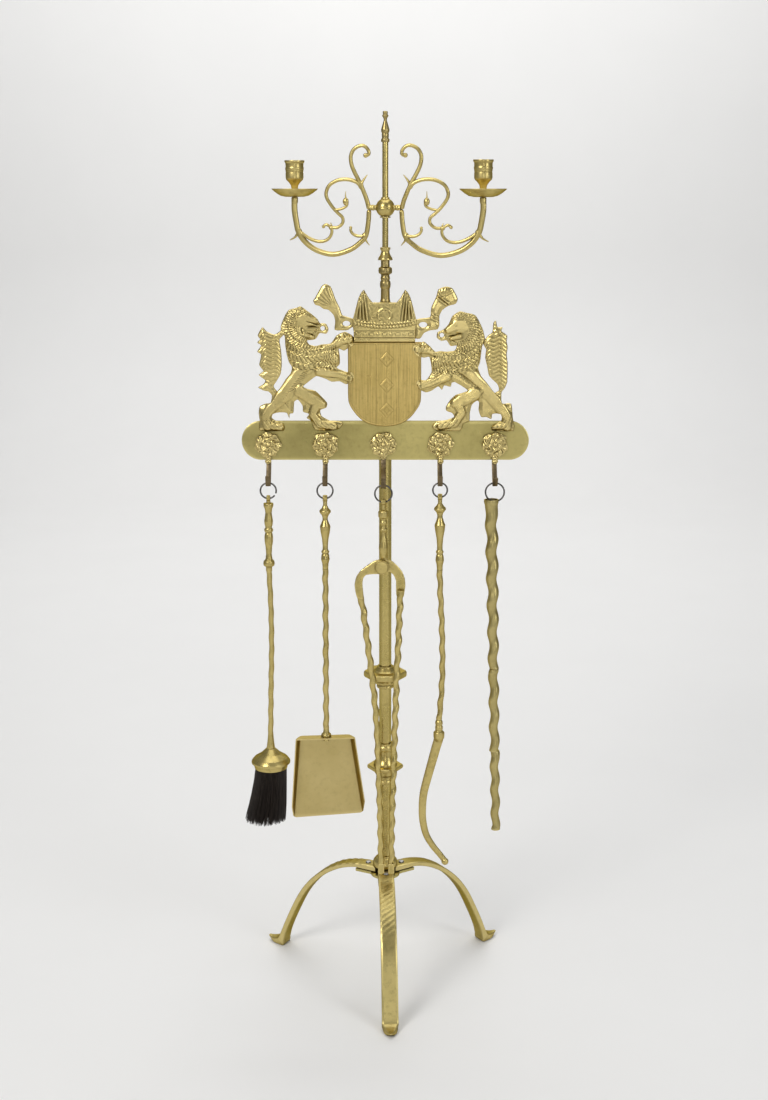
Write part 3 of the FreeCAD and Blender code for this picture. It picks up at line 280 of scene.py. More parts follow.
def bristle_mat():
    mat = bpy.data.materials.new("bristle")
    t, b = nt(mat)
    b.inputs["Metallic"].default_value = 0.0
    vec = coords(t, (1.0, 1.0, 0.08))
    n1 = noise_(t, vec, 900.0, 3.0, 0.6)
    c = ramp(t, n1, [(0.30, (0.016, 0.012, 0.010, 1)), (0.55, (0.030, 0.023, 0.018, 1)), (0.75, (0.075, 0.058, 0.045, 1))]).outputs["Color"]
    t.links.new(c, b.inputs["Base Color"])
    rr = N(t, "ShaderNodeMapRange")
    rr.inputs["To Min"].default_value = 0.42
    rr.inputs["To Max"].default_value = 0.7
    t.links.new(n1, rr.inputs["Value"])
    t.links.new(rr.outputs[0], b.inputs["Roughness"])
    b.inputs["Specular IOR Level"].default_value = 0.35
    bp = N(t, "ShaderNodeBump")
    bp.inputs["Strength"].default_value = 0.4
    bp.inputs["Distance"].default_value = 0.0006
    t.links.new(n1, bp.inputs["Height"])
    t.links.new(bp.outputs["Normal"], b.inputs["Normal"])
    return mat


M["bristle"] = bristle_mat()


def pale_mat(name, col, rough=0.6):
    mat = bpy.data.materials.new(name)
    t, b = nt(mat)
    n1 = noise_(t, coords(t), 3.0, 3.0)
    c = ramp(t, n1, [(0.3, tuple(x * 0.985 for x in col) + (1,)), (0.7, col + (1,))]).outputs["Color"]
    t.links.new(c, b.inputs["Base Color"])
    b.inputs["Roughness"].default_value = rough
    return mat


def stage_mesh():
    # floor that sweeps up into the backdrop
    xs = np.linspace(-5.5, 5.5, 9)
    prof = [(-4.5, 0.0), (3.5, 0.0)]
    for i in range(1, 13):
        a = math.radians(90.0 * i / 12)
        prof.append((3.5 + 0.9 * math.sin(a), 0.9 - 0.9 * math.cos(a)))
    prof.append((4.4, 5.0))
    v, f = [], []
    for y, z in prof:
        for x in xs:
            v.append((float(x), y, z))
    n = len(xs)
    for i in range(len(prof) - 1):
        for j in range(n - 1):
            a = i * n + j
            f.append((a, a + 1, a + n + 1, a + n))
    me = bpy.data.meshes.new("stage_floor")
    me.from_pydata(v, [], f)
    for p in me.polygons:
        p.use_smooth = True
    me.materials.append(pale_mat("stage_pale", (0.86, 0.855, 0.845)))
    ob = bpy.data.objects.new("stage_floor", me)
    SC.collection.objects.link(ob)


stage_mesh()


# ------------------------------------------------------------------ mesh helpers (mm, column axis at 0, 0)
class Mesh:
    def __init__(s):
        s.v, s.f = [], []

    def add(s, v, f):
        o = len(s.v)
        s.v.extend([tuple(map(float, p)) for p in v])
        s.f.extend([tuple(int(i) + o for i in q) for q in f])
        return s


def rotz(v, a, cx=0.0, cy=0.0):
    v = np.asarray(v, float).copy()
    c, s = math.cos(a), math.sin(a)
    x, y = v[:, 0] - cx, v[:, 1] - cy
    v[:, 0], v[:, 1] = cx + c * x - s * y, cy + s * x + c * y
    return v


def build(name, mesh, mat, body, replaces=(), angle=38.0, smooth=True, bevel=0.0, segs=2, limit=35.0, fix=True):
    v = np.asarray(mesh.v, float)
    v = (v + np.array([0, SY, 0])) * 0.001
    me = bpy.data.meshes.new(name)
    me.from_pydata(v.tolist(), [], mesh.f)
    me.validate(verbose=False)
    if fix:
        import bmesh
        bm = bmesh.new()
        bm.from_mesh(me)
        bmesh.ops.remove_doubles(bm, verts=bm.verts, dist=2e-6)
        bmesh.ops.recalc_face_normals(bm, faces=bm.faces)
        bm.to_mesh(me)
        bm.free()
    me.materials.append(M[mat])
    ob = bpy.data.objects.new(name, me)
    SC.collection.objects.link(ob)
    if bevel > 0:
        m = ob.modifiers.new("bevel", "BEVEL")
        m.width = bevel * 0.001
        m.segments = segs
        m.limit_method = "ANGLE"
        m.angle_limit = math.radians(limit)
        m.harden_normals = False
        dg = bpy.context.evaluated_depsgraph_get()
        new = bpy.data.meshes.new_from_object(ob.evaluated_get(dg))
        ob.modifiers.clear()
        old = ob.data
        ob.data = new
        bpy.data.meshes.remove(old)
        ob.data.name = name
    if smooth:
        for p in ob.data.polygons:
            p.use_smooth = True
        ob.data.set_sharp_from_angle(angle=math.radians(angle))
    if replaces:
        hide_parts(*replaces)
    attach(ob, body)
    return ob


def soften(pts, r=0.5, n=3, closed=False):
    """Rounds the corners of an (r, z) outline."""
    out = []
    m = len(pts)
    for i, p in enumerate(pts):
        if not closed and i in (0, m - 1):
            out.append(p)
            continue
        a, b = pts[(i - 1) % m], pts[(i + 1) % m]
        la = math.hypot(p[0] - a[0], p[1] - a[1])
        lb = math.hypot(p[0] - b[0], p[1] - b[1])
        if la < 1e-6 or lb < 1e-6:
            out.append(p)
            continue
        q = min(r, la * 0.45, lb * 0.45)
        p0 = (p[0] + (a[0] - p[0]) * q / la, p[1] + (a[1] - p[1]) * q / la)
        p2 = (p[0] + (b[0] - p[0]) * q / lb, p[1] + (b[1] - p[1]) * q / lb)
        for k in range(n + 1):
            t = k / n
            out.append(((1 - t) ** 2 * p0[0] + 2 * t * (1 - t) * p[0] + t * t * p2[0],
                        (1 - t) ** 2 * p0[1] + 2 * t * (1 - t) * p[1] + t * t * p2[1]))
    return out


def catmull(pts, n=6):
    pts = [tuple(p) for p in pts]
    out = []
    m = len(pts)
    for i in range(m - 1):
        p0, p1, p2, p3 = pts[max(i - 1, 0)], pts[i], pts[i + 1], pts[min(i + 2, m - 1)]
        for k in range(n):
            t = k / n
            out.append(tuple(0.5 * (2 * b + (c - a) * t + (2 * a - 5 * b + 4 * c - d) * t * t + (3 * b - a - 3 * c + d) * t ** 3)
                             for a, b, c, d in zip(p0, p1, p2, p3)))
    out.append(pts[-1])
    return out


def revolve(pts, cx=0.0, cy=0.0, n=72, r=0.4, closed=False, wob=0.0):
    """Turned piece. Open outlines start and end on the axis or are closed round a bore."""
    p = soften(pts, r, 3, closed) if r > 0 else list(pts)
    v, f = [], []
    idx = []
    for (rr, z) in p:
        if rr < 1e-4 and not closed:
            idx.append([len(v)])
            v.append((cx, cy, z))
        else:
            row = []
            for j in range(n):
                a = 2 * math.pi * j / n
                k = 1.0 + wob * math.sin(3 * a + z * 0.21) if wob else 1.0
                row.append(len(v))
                v.append((cx + rr * k * math.cos(a), cy + rr * k * math.sin(a), z))
            idx.append(row)
    m = len(idx)
    for i in range(m if closed else m - 1):
        A, B = idx[i], idx[(i + 1) % m]
        for j in range(n):
            k = (j + 1) % n
            if len(A) == 1 and len(B) == 1:
                continue
            if len(A) == 1:
                f.append((A[0], B[k], B[j]))
            elif len(B) == 1:
                f.append((A[j], A[k], B[0]))
            else:
                f.append((A[j], A[k], B[k], B[j]))
    return v, f


def frames(path):
    P = np.asarray(path, float)
    T = np.gradient(P, axis=0)
    T /= np.linalg.norm(T, axis=1)[:, None] + 1e-12
    ref = np.array([0, 1.0, 0]) if abs(T[0][1]) < 0.9 else np.array([1.0, 0, 0])
    u = ref - T[0] * (ref @ T[0])
    u /= np.linalg.norm(u)
    U = [u]
    for i in range(1, len(P)):
        u = U[-1] - T[i] * (U[-1] @ T[i])
        u /= np.linalg.norm(u) + 1e-12
        U.append(u)
    U = np.array(U)
    return P, T, U, np.cross(T, U)


def sweep(path, section, cap=True):
    """section(i, s, n) gives points (a, b) along the frame's two cross axes; s runs 0 to 1."""
    P, T, U, W = frames(path)
    m = len(P)
    d = np.r_[0, np.cumsum(np.linalg.norm(np.diff(P, axis=0), axis=1))]
    L = d[-1]
    v, f = [], []
    k = None
    for i in range(m):
        sec = np.asarray(section(d[i], L))
        k = len(sec)
        v.append(P[i] + sec[:, :1] * U[i] + sec[:, 1:2] * W[i])
    V = np.vstack(v)
    for i in range(m - 1):
        for j in range(k):
            a, b = i * k + j, i * k + (j + 1) % k
            f.append((a, b, b + k, a + k))
    V = V.tolist()
    if cap:
        for i, flip in ((0, True), (m - 1, False)):
            c = len(V)
            V.append((P[i]).tolist())
            for j in range(k):
                a, b = i * k + j, i * k + (j + 1) % k
                f.append((a, c, b) if flip else (a, b, c))
    return V, f


def circle_section(r, n=16, squash=1.0):
    a = np.arange(n) * 2 * math.pi / n
    return np.c_[np.cos(a) * r * squash, np.sin(a) * r]


def round_tube(pts, r0, r1, n=16, squash=1.0, res=7, tip0=True, tip1=True, rmid=None):
    """Round bar along a curved line with rounded ends."""
    path = catmull(pts, res)
    rads = []
    P = np.asarray(path)
    d = np.r_[0, np.cumsum(np.linalg.norm(np.diff(P, axis=0), axis=1))]
    L = d[-1]

    def rad(s):
        t = s / L
        if rmid is not None:
            base = (r0 * (1 - 2 * t) + rmid * 2 * t) if t < 0.5 else (rmid * (2 - 2 * t) + r1 * (2 * t - 1))
        else:
            base = r0 + (r1 - r0) * t
        if tip0 and s < r0:
            base *= math.sqrt(max(0.02, 1 - (1 - s / r0) ** 2))
        if tip1 and L - s < r1:
            base *= math.sqrt(max(0.02, 1 - (1 - (L - s) / r1) ** 2))
        return base
    # extra rings near the ends for the rounding
    ts = sorted(set([0.0, L] + [float(x) for x in d] + ([r0 * k / 5 for k in range(1, 6)] if tip0 else []) + ([L - r1 * k / 5 for k in range(1, 6)] if tip1 else [])))
    Q = np.array([[np.interp(t, d, P[:, c]) for c in range(3)] for t in ts])
    return sweep(Q, lambda s, L_: circle_section(rad(s), n, squash))


def dense(pts, step):
    P = np.asarray(pts, float)
    d = np.r_[0, np.cumsum(np.linalg.norm(np.diff(P, axis=0), axis=1))]
    k = max(2, int(d[-1] / step))
    ts = np.linspace(0, d[-1], k + 1)
    return np.array([[np.interp(t, d, P[:, c]) for c in range(P.shape[1])] for t in ts])


def twisted_bar(pts, r0, r1, pitch, lobes=4, depth=0.16, n=28, step=1.1, wave=0.0, wpitch=None, fade=6.0, phase=0.0):
    """Bar whose lobed section turns along its length, like a twisted rod, with a slight spiral of its line."""
    P = dense(catmull(pts, 8), step)
    a = np.arange(n) * 2 * math.pi / n
    wp = wpitch or pitch

    def sec(s, L):
        t = s / L
        r = r0 + (r1 - r0) * t
        e = min(1.0, s / fade, (L - s) / fade)
        tw = 2 * math.pi * s / pitch + phase
        rr = r * (1 - depth * e * (0.5 - 0.5 * np.cos(lobes * (a - tw / 1.0))))
        ca, sa = math.cos(2 * math.pi * s / wp + phase), math.sin(2 * math.pi * s / wp + phase)
        x = rr * np.cos(a) + wave * e * ca
        y = rr * np.sin(a) + wave * e * sa
        return np.c_[x, y]
    return sweep(P, sec)


def prism(pts, z0, z1):
    """(x, y) outline between two heights."""
    k = len(pts)
    v = [(x, y, z0) for x, y in pts] + [(x, y, z1) for x, y in pts]
    f = [tuple(range(k))[::-1], tuple(range(k, 2 * k))]
    for j in range(k):
        a, b = j, (j + 1) % k
        f.append((a, b, b + k, a + k))
    return v, f


def slab(pts, y0, y1):
    """(x, z) outline given a thickness in y."""
    k = len(pts)
    v = [(x, y0, z) for x, z in pts] + [(x, y1, z) for x, z in pts]
    f = [tuple(range(k)), tuple(range(k, 2 * k))[::-1]]
    for j in range(k):
        a, b = j, (j + 1) % k
        f.append((a, a + k, b + k, b))
    return v, f


from mathutils.geometry import delaunay_2d_cdt


def seg_dist(P, A, B):
    """Distances of points P (n, 2) to one segment and the share of its length, both as arrays."""
    d = B - A
    L = float(d @ d) + 1e-12
    t = np.clip(((P - A) @ d) / L, 0, 1)
    q = A + t[:, None] * d
    return np.hypot(*(P - q).T), t


def line_dist(P, pts, radii=None):
    """Distance to a polyline; with radii also the distance as a share of the local radius, and arc position."""
    pts = np.asarray(pts, float)
    best = np.full(len(P), 1e9)
    share = np.full(len(P), 1e9)
    arc = np.zeros(len(P))
    s = 0.0
    if len(pts) == 1:
        d = np.hypot(*(P - pts[0]).T)
        return d, d / (radii[0] if radii is not None else 1.0), np.zeros(len(P))
    for i in range(len(pts) - 1):
        d, t = seg_dist(P, pts[i], pts[i + 1])
        L = np.hypot(*(pts[i + 1] - pts[i]))
        if radii is not None:
            r = radii[i] * (1 - t) + radii[i + 1] * t
        else:
            r = 1.0
        q = d / r
        m = q < share
        share = np.where(m, q, share)
        arc = np.where(m, s + t * L, arc)
        best = np.minimum(best, d)
        s += L
    return best, share, arc


def inside(P, poly):
    poly = np.asarray(poly, float)
    x, y = P[:, 0], P[:, 1]
    ins = np.zeros(len(P), bool)
    m = len(poly)
    for i in range(m):
        x0, y0 = poly[i]
        x1, y1 = poly[(i + 1) % m]
        if y0 == y1:
            continue
        c = ((y0 > y) != (y1 > y)) & (x < (x1 - x0) * (y - y0) / (y1 - y0) + x0)
        ins ^= c
    return ins


def ring_dist(P, poly):
    poly = list(poly)
    return line_dist(P, poly + [poly[0]])[0]


def close_dense(poly, step):
    out = []
    m = len(poly)
    for i in range(m):
        a, b = poly[i], poly[(i + 1) % m]
        L = math.hypot(b[0] - a[0], b[1] - a[1])
        k = max(1, int(round(L / step)))
        for j in range(k):
            t = j / k
            out.append((a[0] + (b[0] - a[0]) * t, a[1] + (b[1] - a[1]) * t))
    return out


def smooth_closed(poly, n=4):
    """Rounds a traced outline a little, keeping its points."""
    m = len(poly)
    out = []
    for i in range(m):
        p0, p1, p2, p3 = poly[i - 1], poly[i], poly[(i + 1) % m], poly[(i + 2) % m]
        for k in range(n):
            t = k / n
            q = []
            for a, b, c, d in zip(p0, p1, p2, p3):
                cm = 0.5 * (2 * b + (c - a) * t + (2 * a - 5 * b + 4 * c - d) * t * t + (3 * b - a - 3 * c + d) * t ** 3)
                ln = b + (c - b) * t
                q.append(0.6 * cm + 0.4 * ln)
            out.append(tuple(q))
    return out


def relief(outline, y_back, height, res=0.9, holes=(), clip=None, flat_back=True, edge_in=0.0):
    """Plate with a modelled front: height(P, D) gives thickness in mm at (x, z) points, D being the distance to the edge."""
    O = close_dense(outline, res)
    H = [close_dense(h, res) for h in holes]
    O2 = np.array(O)
    lo, hi = O2.min(0), O2.max(0)
    xs = np.arange(lo[0], hi[0] + res, res)
    zs = np.arange(lo[1], hi[1] + res, res * 0.866)
    G = np.array([(x + (0.5 * res if j % 2 else 0.0), z) for j, z in enumerate(zs) for x in xs])
    k = inside(G, O)
    for h in H:
        k &= ~inside(G, h)
    G = G[k]
    D = ring_dist(G, O)
    for h in H:
        D = np.minimum(D, ring_dist(G, h))
    G = G[D > res * 0.55]
    pts = O + [q for h in H for q in h] + [tuple(q) for q in G]
    edges, s = [], 0
    for loop in [O] + H:
        m = len(loop)
        edges += [(s + i, s + (i + 1) % m) for i in range(m)]
        s += m
    res_ = delaunay_2d_cdt([Vector(p) for p in pts], edges, [], 0, 1e-5)
    V2 = np.array([tuple(v) for v in res_[0]])
    F = np.array([tuple(f) for f in res_[2] if len(f) == 3])
    C = V2[F].mean(1)
    keep = inside(C, O)
    for h in H:
        keep &= ~inside(C, h)
    F = F[keep]
    cnt = {}
    for f in F:
        for a, b in ((f[0], f[1]), (f[1], f[2]), (f[2], f[0])):
            cnt[(a, b)] = cnt.get((a, b), 0) + 1
    rim = [e for e in cnt if (e[1], e[0]) not in cnt]
    D = ring_dist(V2, O)
    for h in H:
        D = np.minimum(D, ring_dist(V2, h))
    for e in rim:
        D[e[0]] = D[e[1]] = 0.0
    hh = height(V2, D)
    n = len(V2)
    yb = y_back if not callable(y_back) else None
    front = np.c_[V2[:, 0], (y_back - hh), V2[:, 1]]
    back = np.c_[V2[:, 0], np.full(n, y_back), V2[:, 1]]
    v = np.vstack([front, back]).tolist()
    f = [tuple(t) for t in F.tolist()] + [(t[0] + n, t[2] + n, t[1] + n) for t in F.tolist()]
    f += [(int(a), int(a) + n, int(b) + n, int(b)) for a, b in rim]
    used = sorted({i for t in f for i in t})
    re = {o: i for i, o in enumerate(used)}
    return [v[i] for i in used], [tuple(re[i] for i in t) for t in f]


def dome(share, power=0.5):
    return np.clip(1 - share ** 2, 0, 1) ** power


def smax(a, b, k=0.8):
    h = np.clip(0.5 + 0.5 * (a - b) / k, 0, 1)
    return b * (1 - h) + a * h + k * h * (1 - h)


# ------------------------------------------------------------------ measures shared with the solid model
AF = 16.4
BAR_Y0, BAR_Y1, BAR_Z = -11.2, -8.2, 798.0
BAR_L, BAR_H = 406.8, 56.0
STRAP_T, STRAP_W = 2.5, 7.0
SLOT_X = {"brush": -165.0, "shovel": -85.0, "tongs": -2.6, "poker": 77.3, "pipe": 154.6}
SLOT_Y = {"brush": -30.0, "shovel": -30.0, "tongs": -48.0, "poker": -30.0, "pipe": -30.0}
ROS_X = {"brush": -165.8, "shovel": -84.6, "tongs": -2.8, "poker": 78.2, "pipe": 155.2}
ROS_Z = 792.5
RING_R = {"brush": 11.1, "shovel": 11.1, "tongs": 12.0, "poker": 10.2, "pipe": 13.2}
RING_TOP = 740.3


# ------------------------------------------------------------------ tripod
def leg_skin(angle, chased, seed):
    top = [(11, 160.0), (30, 159.9), (48, 158.6), (70, 153.3), (88, 145.0), (104, 134.5), (121, 119.5),
           (135, 103.0), (147, 84.0), (159, 60.0), (169, 38.0), (175.5, 22.0), (180, 12.5), (183, 10.3), (187.5, 8.6), (195, 7.5), (201.95, 7.9)]
    low = [(11, 152.5), (30, 152.5), (46, 152.4), (66, 147.4), (83, 139.5), (98.5, 129.5), (115, 114.5),
           (128.5, 98.5), (140, 80.5), (152, 56.5), (162, 34.5), (167.5, 20.0), (170.5, 8.0), (172.4, 0.2), (187, 0.1), (194.8, 1.6), (201.95, 6.4)]
    T = np.array(catmull(top, 9))
    B = np.array(catmull(low, 9))
    B[:, 1] = np.maximum(B[:, 1], 0.0)
    m = len(T)
    ds = np.r_[0, np.cumsum(np.hypot(*np.diff(T, axis=0).T))]
    mesh = Mesh()
    cols = 19
    v, f, rows = [], [], []
    for i in range(m):
        rho = T[i, 0]
        hw = 11.5
        if rho > 182:
            hw = 11.5 - (rho - 182) / 20.4 * 9.7
        if i == 0:
            hw = 11.3
        tb = T[i] - B[i]
        th = math.hypot(*tb) + 1e-9
        u = tb / th
        c = min(1.1, th * 0.28, hw * 0.4)
        row = []
        # top side, left to right, with hammered facets and, on one leg, slanted chasing
        for k in range(cols):
            s = -1 + 2 * k / (cols - 1)
            e = 0.0
            y = s * hw
            if abs(s) > 0.999:
                e = -c
            else:
                y = s * (hw - 0.25 * c)
                e = -0.45 * max(0.0, abs(s) - 0.72) ** 2 / 0.078 * c
            d = ds[i]
            if chased and 30 < d < 132 and abs(s) < 0.95:
                ph = (d + y * 0.75) / 8.6
                w = min(1.0, (d - 30) / 14.0, (132 - d) / 10.0)
                e -= 0.75 * w * (0.5 - 0.5 * math.cos(2 * math.pi * ph)) ** 2
            if not chased and 40 < d < 120 and abs(s) < 0.95:
                e -= 0.16 * max(0.0, math.sin(d * 0.52 + seed)) * (1 - abs(s))
            if angle > 100 and 22 < d < 120:
                e -= 0.75 * min(1.0, (d - 22) / 10.0, (120 - d) / 20.0) * (0.5 - 0.5 * math.cos(2 * math.pi * (d - 22) / 11.5)) * (0.55 + 0.45 * abs(s))
            if chased and 128 < d < 136 and abs(s) < 0.97:
                e -= 0.35 * math.cos((d - 132) / 4.0 * math.pi / 2) ** 2
            e -= 0.10 * noise.noise(Vector((d * 0.06, y * 0.18, seed * 3.7)))
            p = T[i] + u * min(0.0, e)
            row.append((p[0], y, p[1]))
        for k in range(cols):
            s = 1 - 2 * k / (cols - 1)
            y = s * hw
            e = c if abs(s) > 0.999 else 0.0
            if abs(s) <= 0.999:
                y = s * (hw - 0.25 * c)
                e = 0.45 * max(0.0, abs(s) - 0.72) ** 2 / 0.078 * c
            p = B[i] + u * e
            row.append((p[0], y, max(p[1], 0.0)))
        idx = list(range(len(v), len(v) + len(row)))
        v += row
        rows.append(idx)
    n = len(rows[0])
    for i in range(m - 1):
        for j in range(n):
            a, b = rows[i][j], rows[i][(j + 1) % n]
            c_, d_ = rows[i + 1][(j + 1) % n], rows[i + 1][j]
            f.append((a, b, c_, d_))
    f.append(tuple(rows[0][::-1]))
    f.append(tuple(rows[-1]))
    V_ = rotz(v, math.radians(angle))
    return V_, f


LEG = {"leg_front": -87.8, "leg_right": 32.2, "leg_left": 152.2}
for i, (nm, a) in enumerate(LEG.items()):
    build(nm + "_skin", Mesh().add(*leg_skin(a, nm == "leg_front", i)), "brass_leg", "stand", [nm], angle=32)


def hole_plate(outer, hole, z0, z1):
    """Plate between two heights with one round hole; outer is a list of (x, y) in ring order."""
    n = len(outer)
    v = [(x, y, z0) for x, y in outer] + [(x, y, z1) for x, y in outer]
    h = []
    for x, y in outer:
        a = math.atan2(y, x)
        h.append((hole * math.cos(a), hole * math.sin(a)))
    v += [(x, y, z0) for x, y in h] + [(x, y, z1) for x, y in h]
    f = []
    for i in range(n):
        j = (i + 1) % n
        f += [(i, j, j + n, i + n), (i + n, j + n, j + 3 * n, i + 3 * n), (j, i, i + 2 * n, j + 2 * n), (i + 3 * n, j + 3 * n, j + 2 * n, i + 2 * n)]
    return v, f


def polar_outline(fn, n=180):
    return [(fn(2 * math.pi * i / n) * math.cos(2 * math.pi * i / n), fn(2 * math.pi * i / n) * math.sin(2 * math.pi * i / n)) for i in range(n)]


def spider_r(a):
    r = 21.0
    for g_ in LEG.values():
        d = (a - math.radians(g_) + math.pi) % (2 * math.pi) - math.pi
        c, s = math.cos(d), abs(math.sin(d))
        if c > 0:
            rr = min(44.0 / c, 11.5 / max(s, 1e-6))
            r = max(r, rr)
    return r


build("spider_plate_skin", Mesh().add(*hole_plate(polar_outline(spider_r, 360), 4.2, 147.9, 151.9)), "brass_satin", "stand", ["spider_plate"], bevel=0.5, segs=2)

mb = Mesh()
for a in LEG.values():
    v, f = revolve([(0, 146.6), (3.6, 147.0), (4.2, 147.9), (2.5, 147.9), (2.5, 160.1), (4.2, 160.1), (3.6, 161.6), (0, 162.4)], 28.0, 0, 32, 0.3)
    mb.add(rotz(v, math.radians(a)), f)
hx = [(13.0 / math.sqrt(3) * math.cos(math.radians(60 * i)), 13.0 / math.sqrt(3) * math.sin(math.radians(60 * i))) for i in range(6)]
mb.add(*hole_plate([tuple(np.array(hx[i // 8]) * (1 - (i % 8) / 8) + np.array(hx[(i // 8 + 1) % 6]) * (i % 8) / 8) for i in range(48)], 4.2, 140.9, 147.9))
build("base_fixings_skin", mb, "steel", "stand", ["base_fixings"], bevel=0.35)
build("tie_rod_skin", Mesh().add(*revolve([(0, 138.5), (3.4, 138.5), (4.0, 139.3), (4.0, 1002.6), (3.6, 1003.0), (0, 1003.0)], 0, 0, 32, 0.2)), "steel", "stand", ["tie_rod"])
build("hub_knob_skin", Mesh().add(*revolve([(4.1, 160.15), (14.5, 160.15), (17.4, 162), (18.2, 166), (17.2, 170.5), (13.8, 174.8), (11.2, 176.2), (11.2, 178.0), (4.1, 178.0)], 0, 0, 96, 0.9, True)),
      "brass", "stand", ["hub_knob"])


# ------------------------------------------------------------------ hexagonal column, faces rounded at the edges and slightly uneven
def hex_section(af, n=60, soft=0.9):
    out = []
    rc = af / math.sqrt(3)
    for i in range(n):
        a = 2 * math.pi * i / n
        b = (a % (math.pi / 3)) - math.pi / 6
        r = (af / 2) / math.cos(b)
        r = min(r, rc - soft * 0.62)
        out.append((r * math.cos(a), r * math.sin(a)))
    return out


def column(z0, z1, seed):
    v, f = [], []
    n = 60
    zs = [z0, z0 + 0.5] + list(np.arange(z0 + 4, z1 - 3, 5.0)) + [z1 - 0.5, z1]
    for k, z in enumerate(zs):
        s = 0.97 if k in (0, len(zs) - 1) else 1.0
        for x, y in hex_section(AF):
            w_ = 1.0 - 0.006 * (0.5 + 0.5 * noise.noise(Vector((x * 0.2, y * 0.2, z * 0.02 + seed))))
            v.append((x * s * w_, y * s * w_, z))
    m = len(zs)
    for i in range(m - 1):
        for j in range(n):
            a, b = i * n + j, i * n + (j + 1) % n
            f.append((a, b, b + n, a + n))
    f.append(tuple(range(n))[::-1])
    f.append(tuple(range((m - 1) * n, m * n)))
    return v, f


for nm, z0, z1 in (("column_lower", 178, 289), ("column_middle", 350, 433), ("column_upper", 466, 962)):
    build(nm + "_skin", Mesh().add(*column(z0, z1, z0)), "brass_rod", "stand", [nm], angle=20)


def hex_flange(r, z0, z1):
    """Six-sided collar with domed corners, like a big nut."""
    n = 120
    v, f = [], []
    prof = [(0.955, z0), (0.985, z0 + (z1 - z0) * 0.12), (1.0, z0 + (z1 - z0) * 0.3), (1.0, z0 + (z1 - z0) * 0.7), (0.985, z0 + (z1 - z0) * 0.88), (0.955, z1)]
    hexr = []
    for i in range(n):
        a = 2 * math.pi * i / n
        b = (a % (math.pi / 3)) - math.pi / 6
        hexr.append((a, r * math.sqrt(3) / 2 / math.cos(b)))
    rows = []
    inset = 0.7
    for k, (q, z) in enumerate([(0.0, z0)] + prof + [(0.0, z1)]):
        row = []
        if q == 0.0:
            rows.append([len(v)])
            v.append((0, 0, z))
            continue
        for a, hr in hexr:
            rr = min(hr - (inset if q < 0.97 else (0.25 if q < 0.99 else 0.0)), r * q)
            row.append(len(v))
            v.append((rr * math.cos(a), rr * math.sin(a), z))
        rows.append(row)
    for A, B in zip(rows[:-1], rows[1:]):
        for j in range(n):
            k = (j + 1) % n
            if len(A) == 1:
                f.append((A[0], B[k], B[j]))
            elif len(B) == 1:
                f.append((A[j], A[k], B[0]))
            else:
                f.append((A[j], A[k], B[k], B[j]))
    return v, f


m1 = Mesh().add(*revolve([(0, 433), (11.6, 433), (12.6, 435.5), (11.6, 438), (14.5, 439.5), (15.5, 442.5), (14.0, 445.5), (18, 449.2), (18, 457.8), (14.5, 460), (13.0, 462), (11.6, 463.5), (11.4, 466), (0, 466)], 0, 0, 96, 0.8))
m1.add(*hex_flange(31.2, 449.0, 458.0))
build("collar_upper_skin", m1, "brass", "stand", ["collar_upper"], angle=30, fix=False)
m1 = Mesh().add(*revolve([(0, 289), (11.6, 289), (12.8, 292), (11.4, 295), (11.4, 300), (14.5, 303), (16, 307), (17, 311.2), (17, 316), (16.5, 320), (13.6, 325), (11.8, 331), (11.4, 338), (12.9, 341), (12.9, 344.5), (11.4, 347), (11.4, 350), (0, 350)], 0, 0, 96, 0.8))
m1.add(*hex_flange(26.2, 311.0, 316.5))
build("collar_lower_skin", m1, "brass", "stand", ["collar_lower"], angle=30, fix=False)


# ------------------------------------------------------------------ crossbar, hooks, rosettes
def stadium(x0, x1, z0, z1, n=24):
    r = (z1 - z0) / 2
    zc = (z0 + z1) / 2
    out = []
    for i in range(n + 1):
        a = math.radians(-90 + 180 * i / n)
        out.append((x1 - r + r * math.cos(a), zc + r * math.sin(a)))
    for i in range(n + 1):
        a = math.radians(90 + 180 * i / n)
        out.append((x0 + r + r * math.cos(a), zc + r * math.sin(a)))
    return out


def bar_height(P, D):
    h = 3.0 - 0.75 * np.clip(1 - D / 1.1, 0, 1) ** 2
    h -= 0.10 * (0.5 + 0.5 * np.sin(P[:, 0] * 0.045 + 0.6) * np.cos(P[:, 1] * 0.09))
    return h


build("crossbar_skin", Mesh().add(*relief(stadium(-BAR_L / 2, BAR_L / 2, BAR_Z - BAR_H / 2, BAR_Z + BAR_H / 2, 40), BAR_Y1, bar_height, 2.2)), "brass_satin", "stand", ["crossbar"], angle=40)


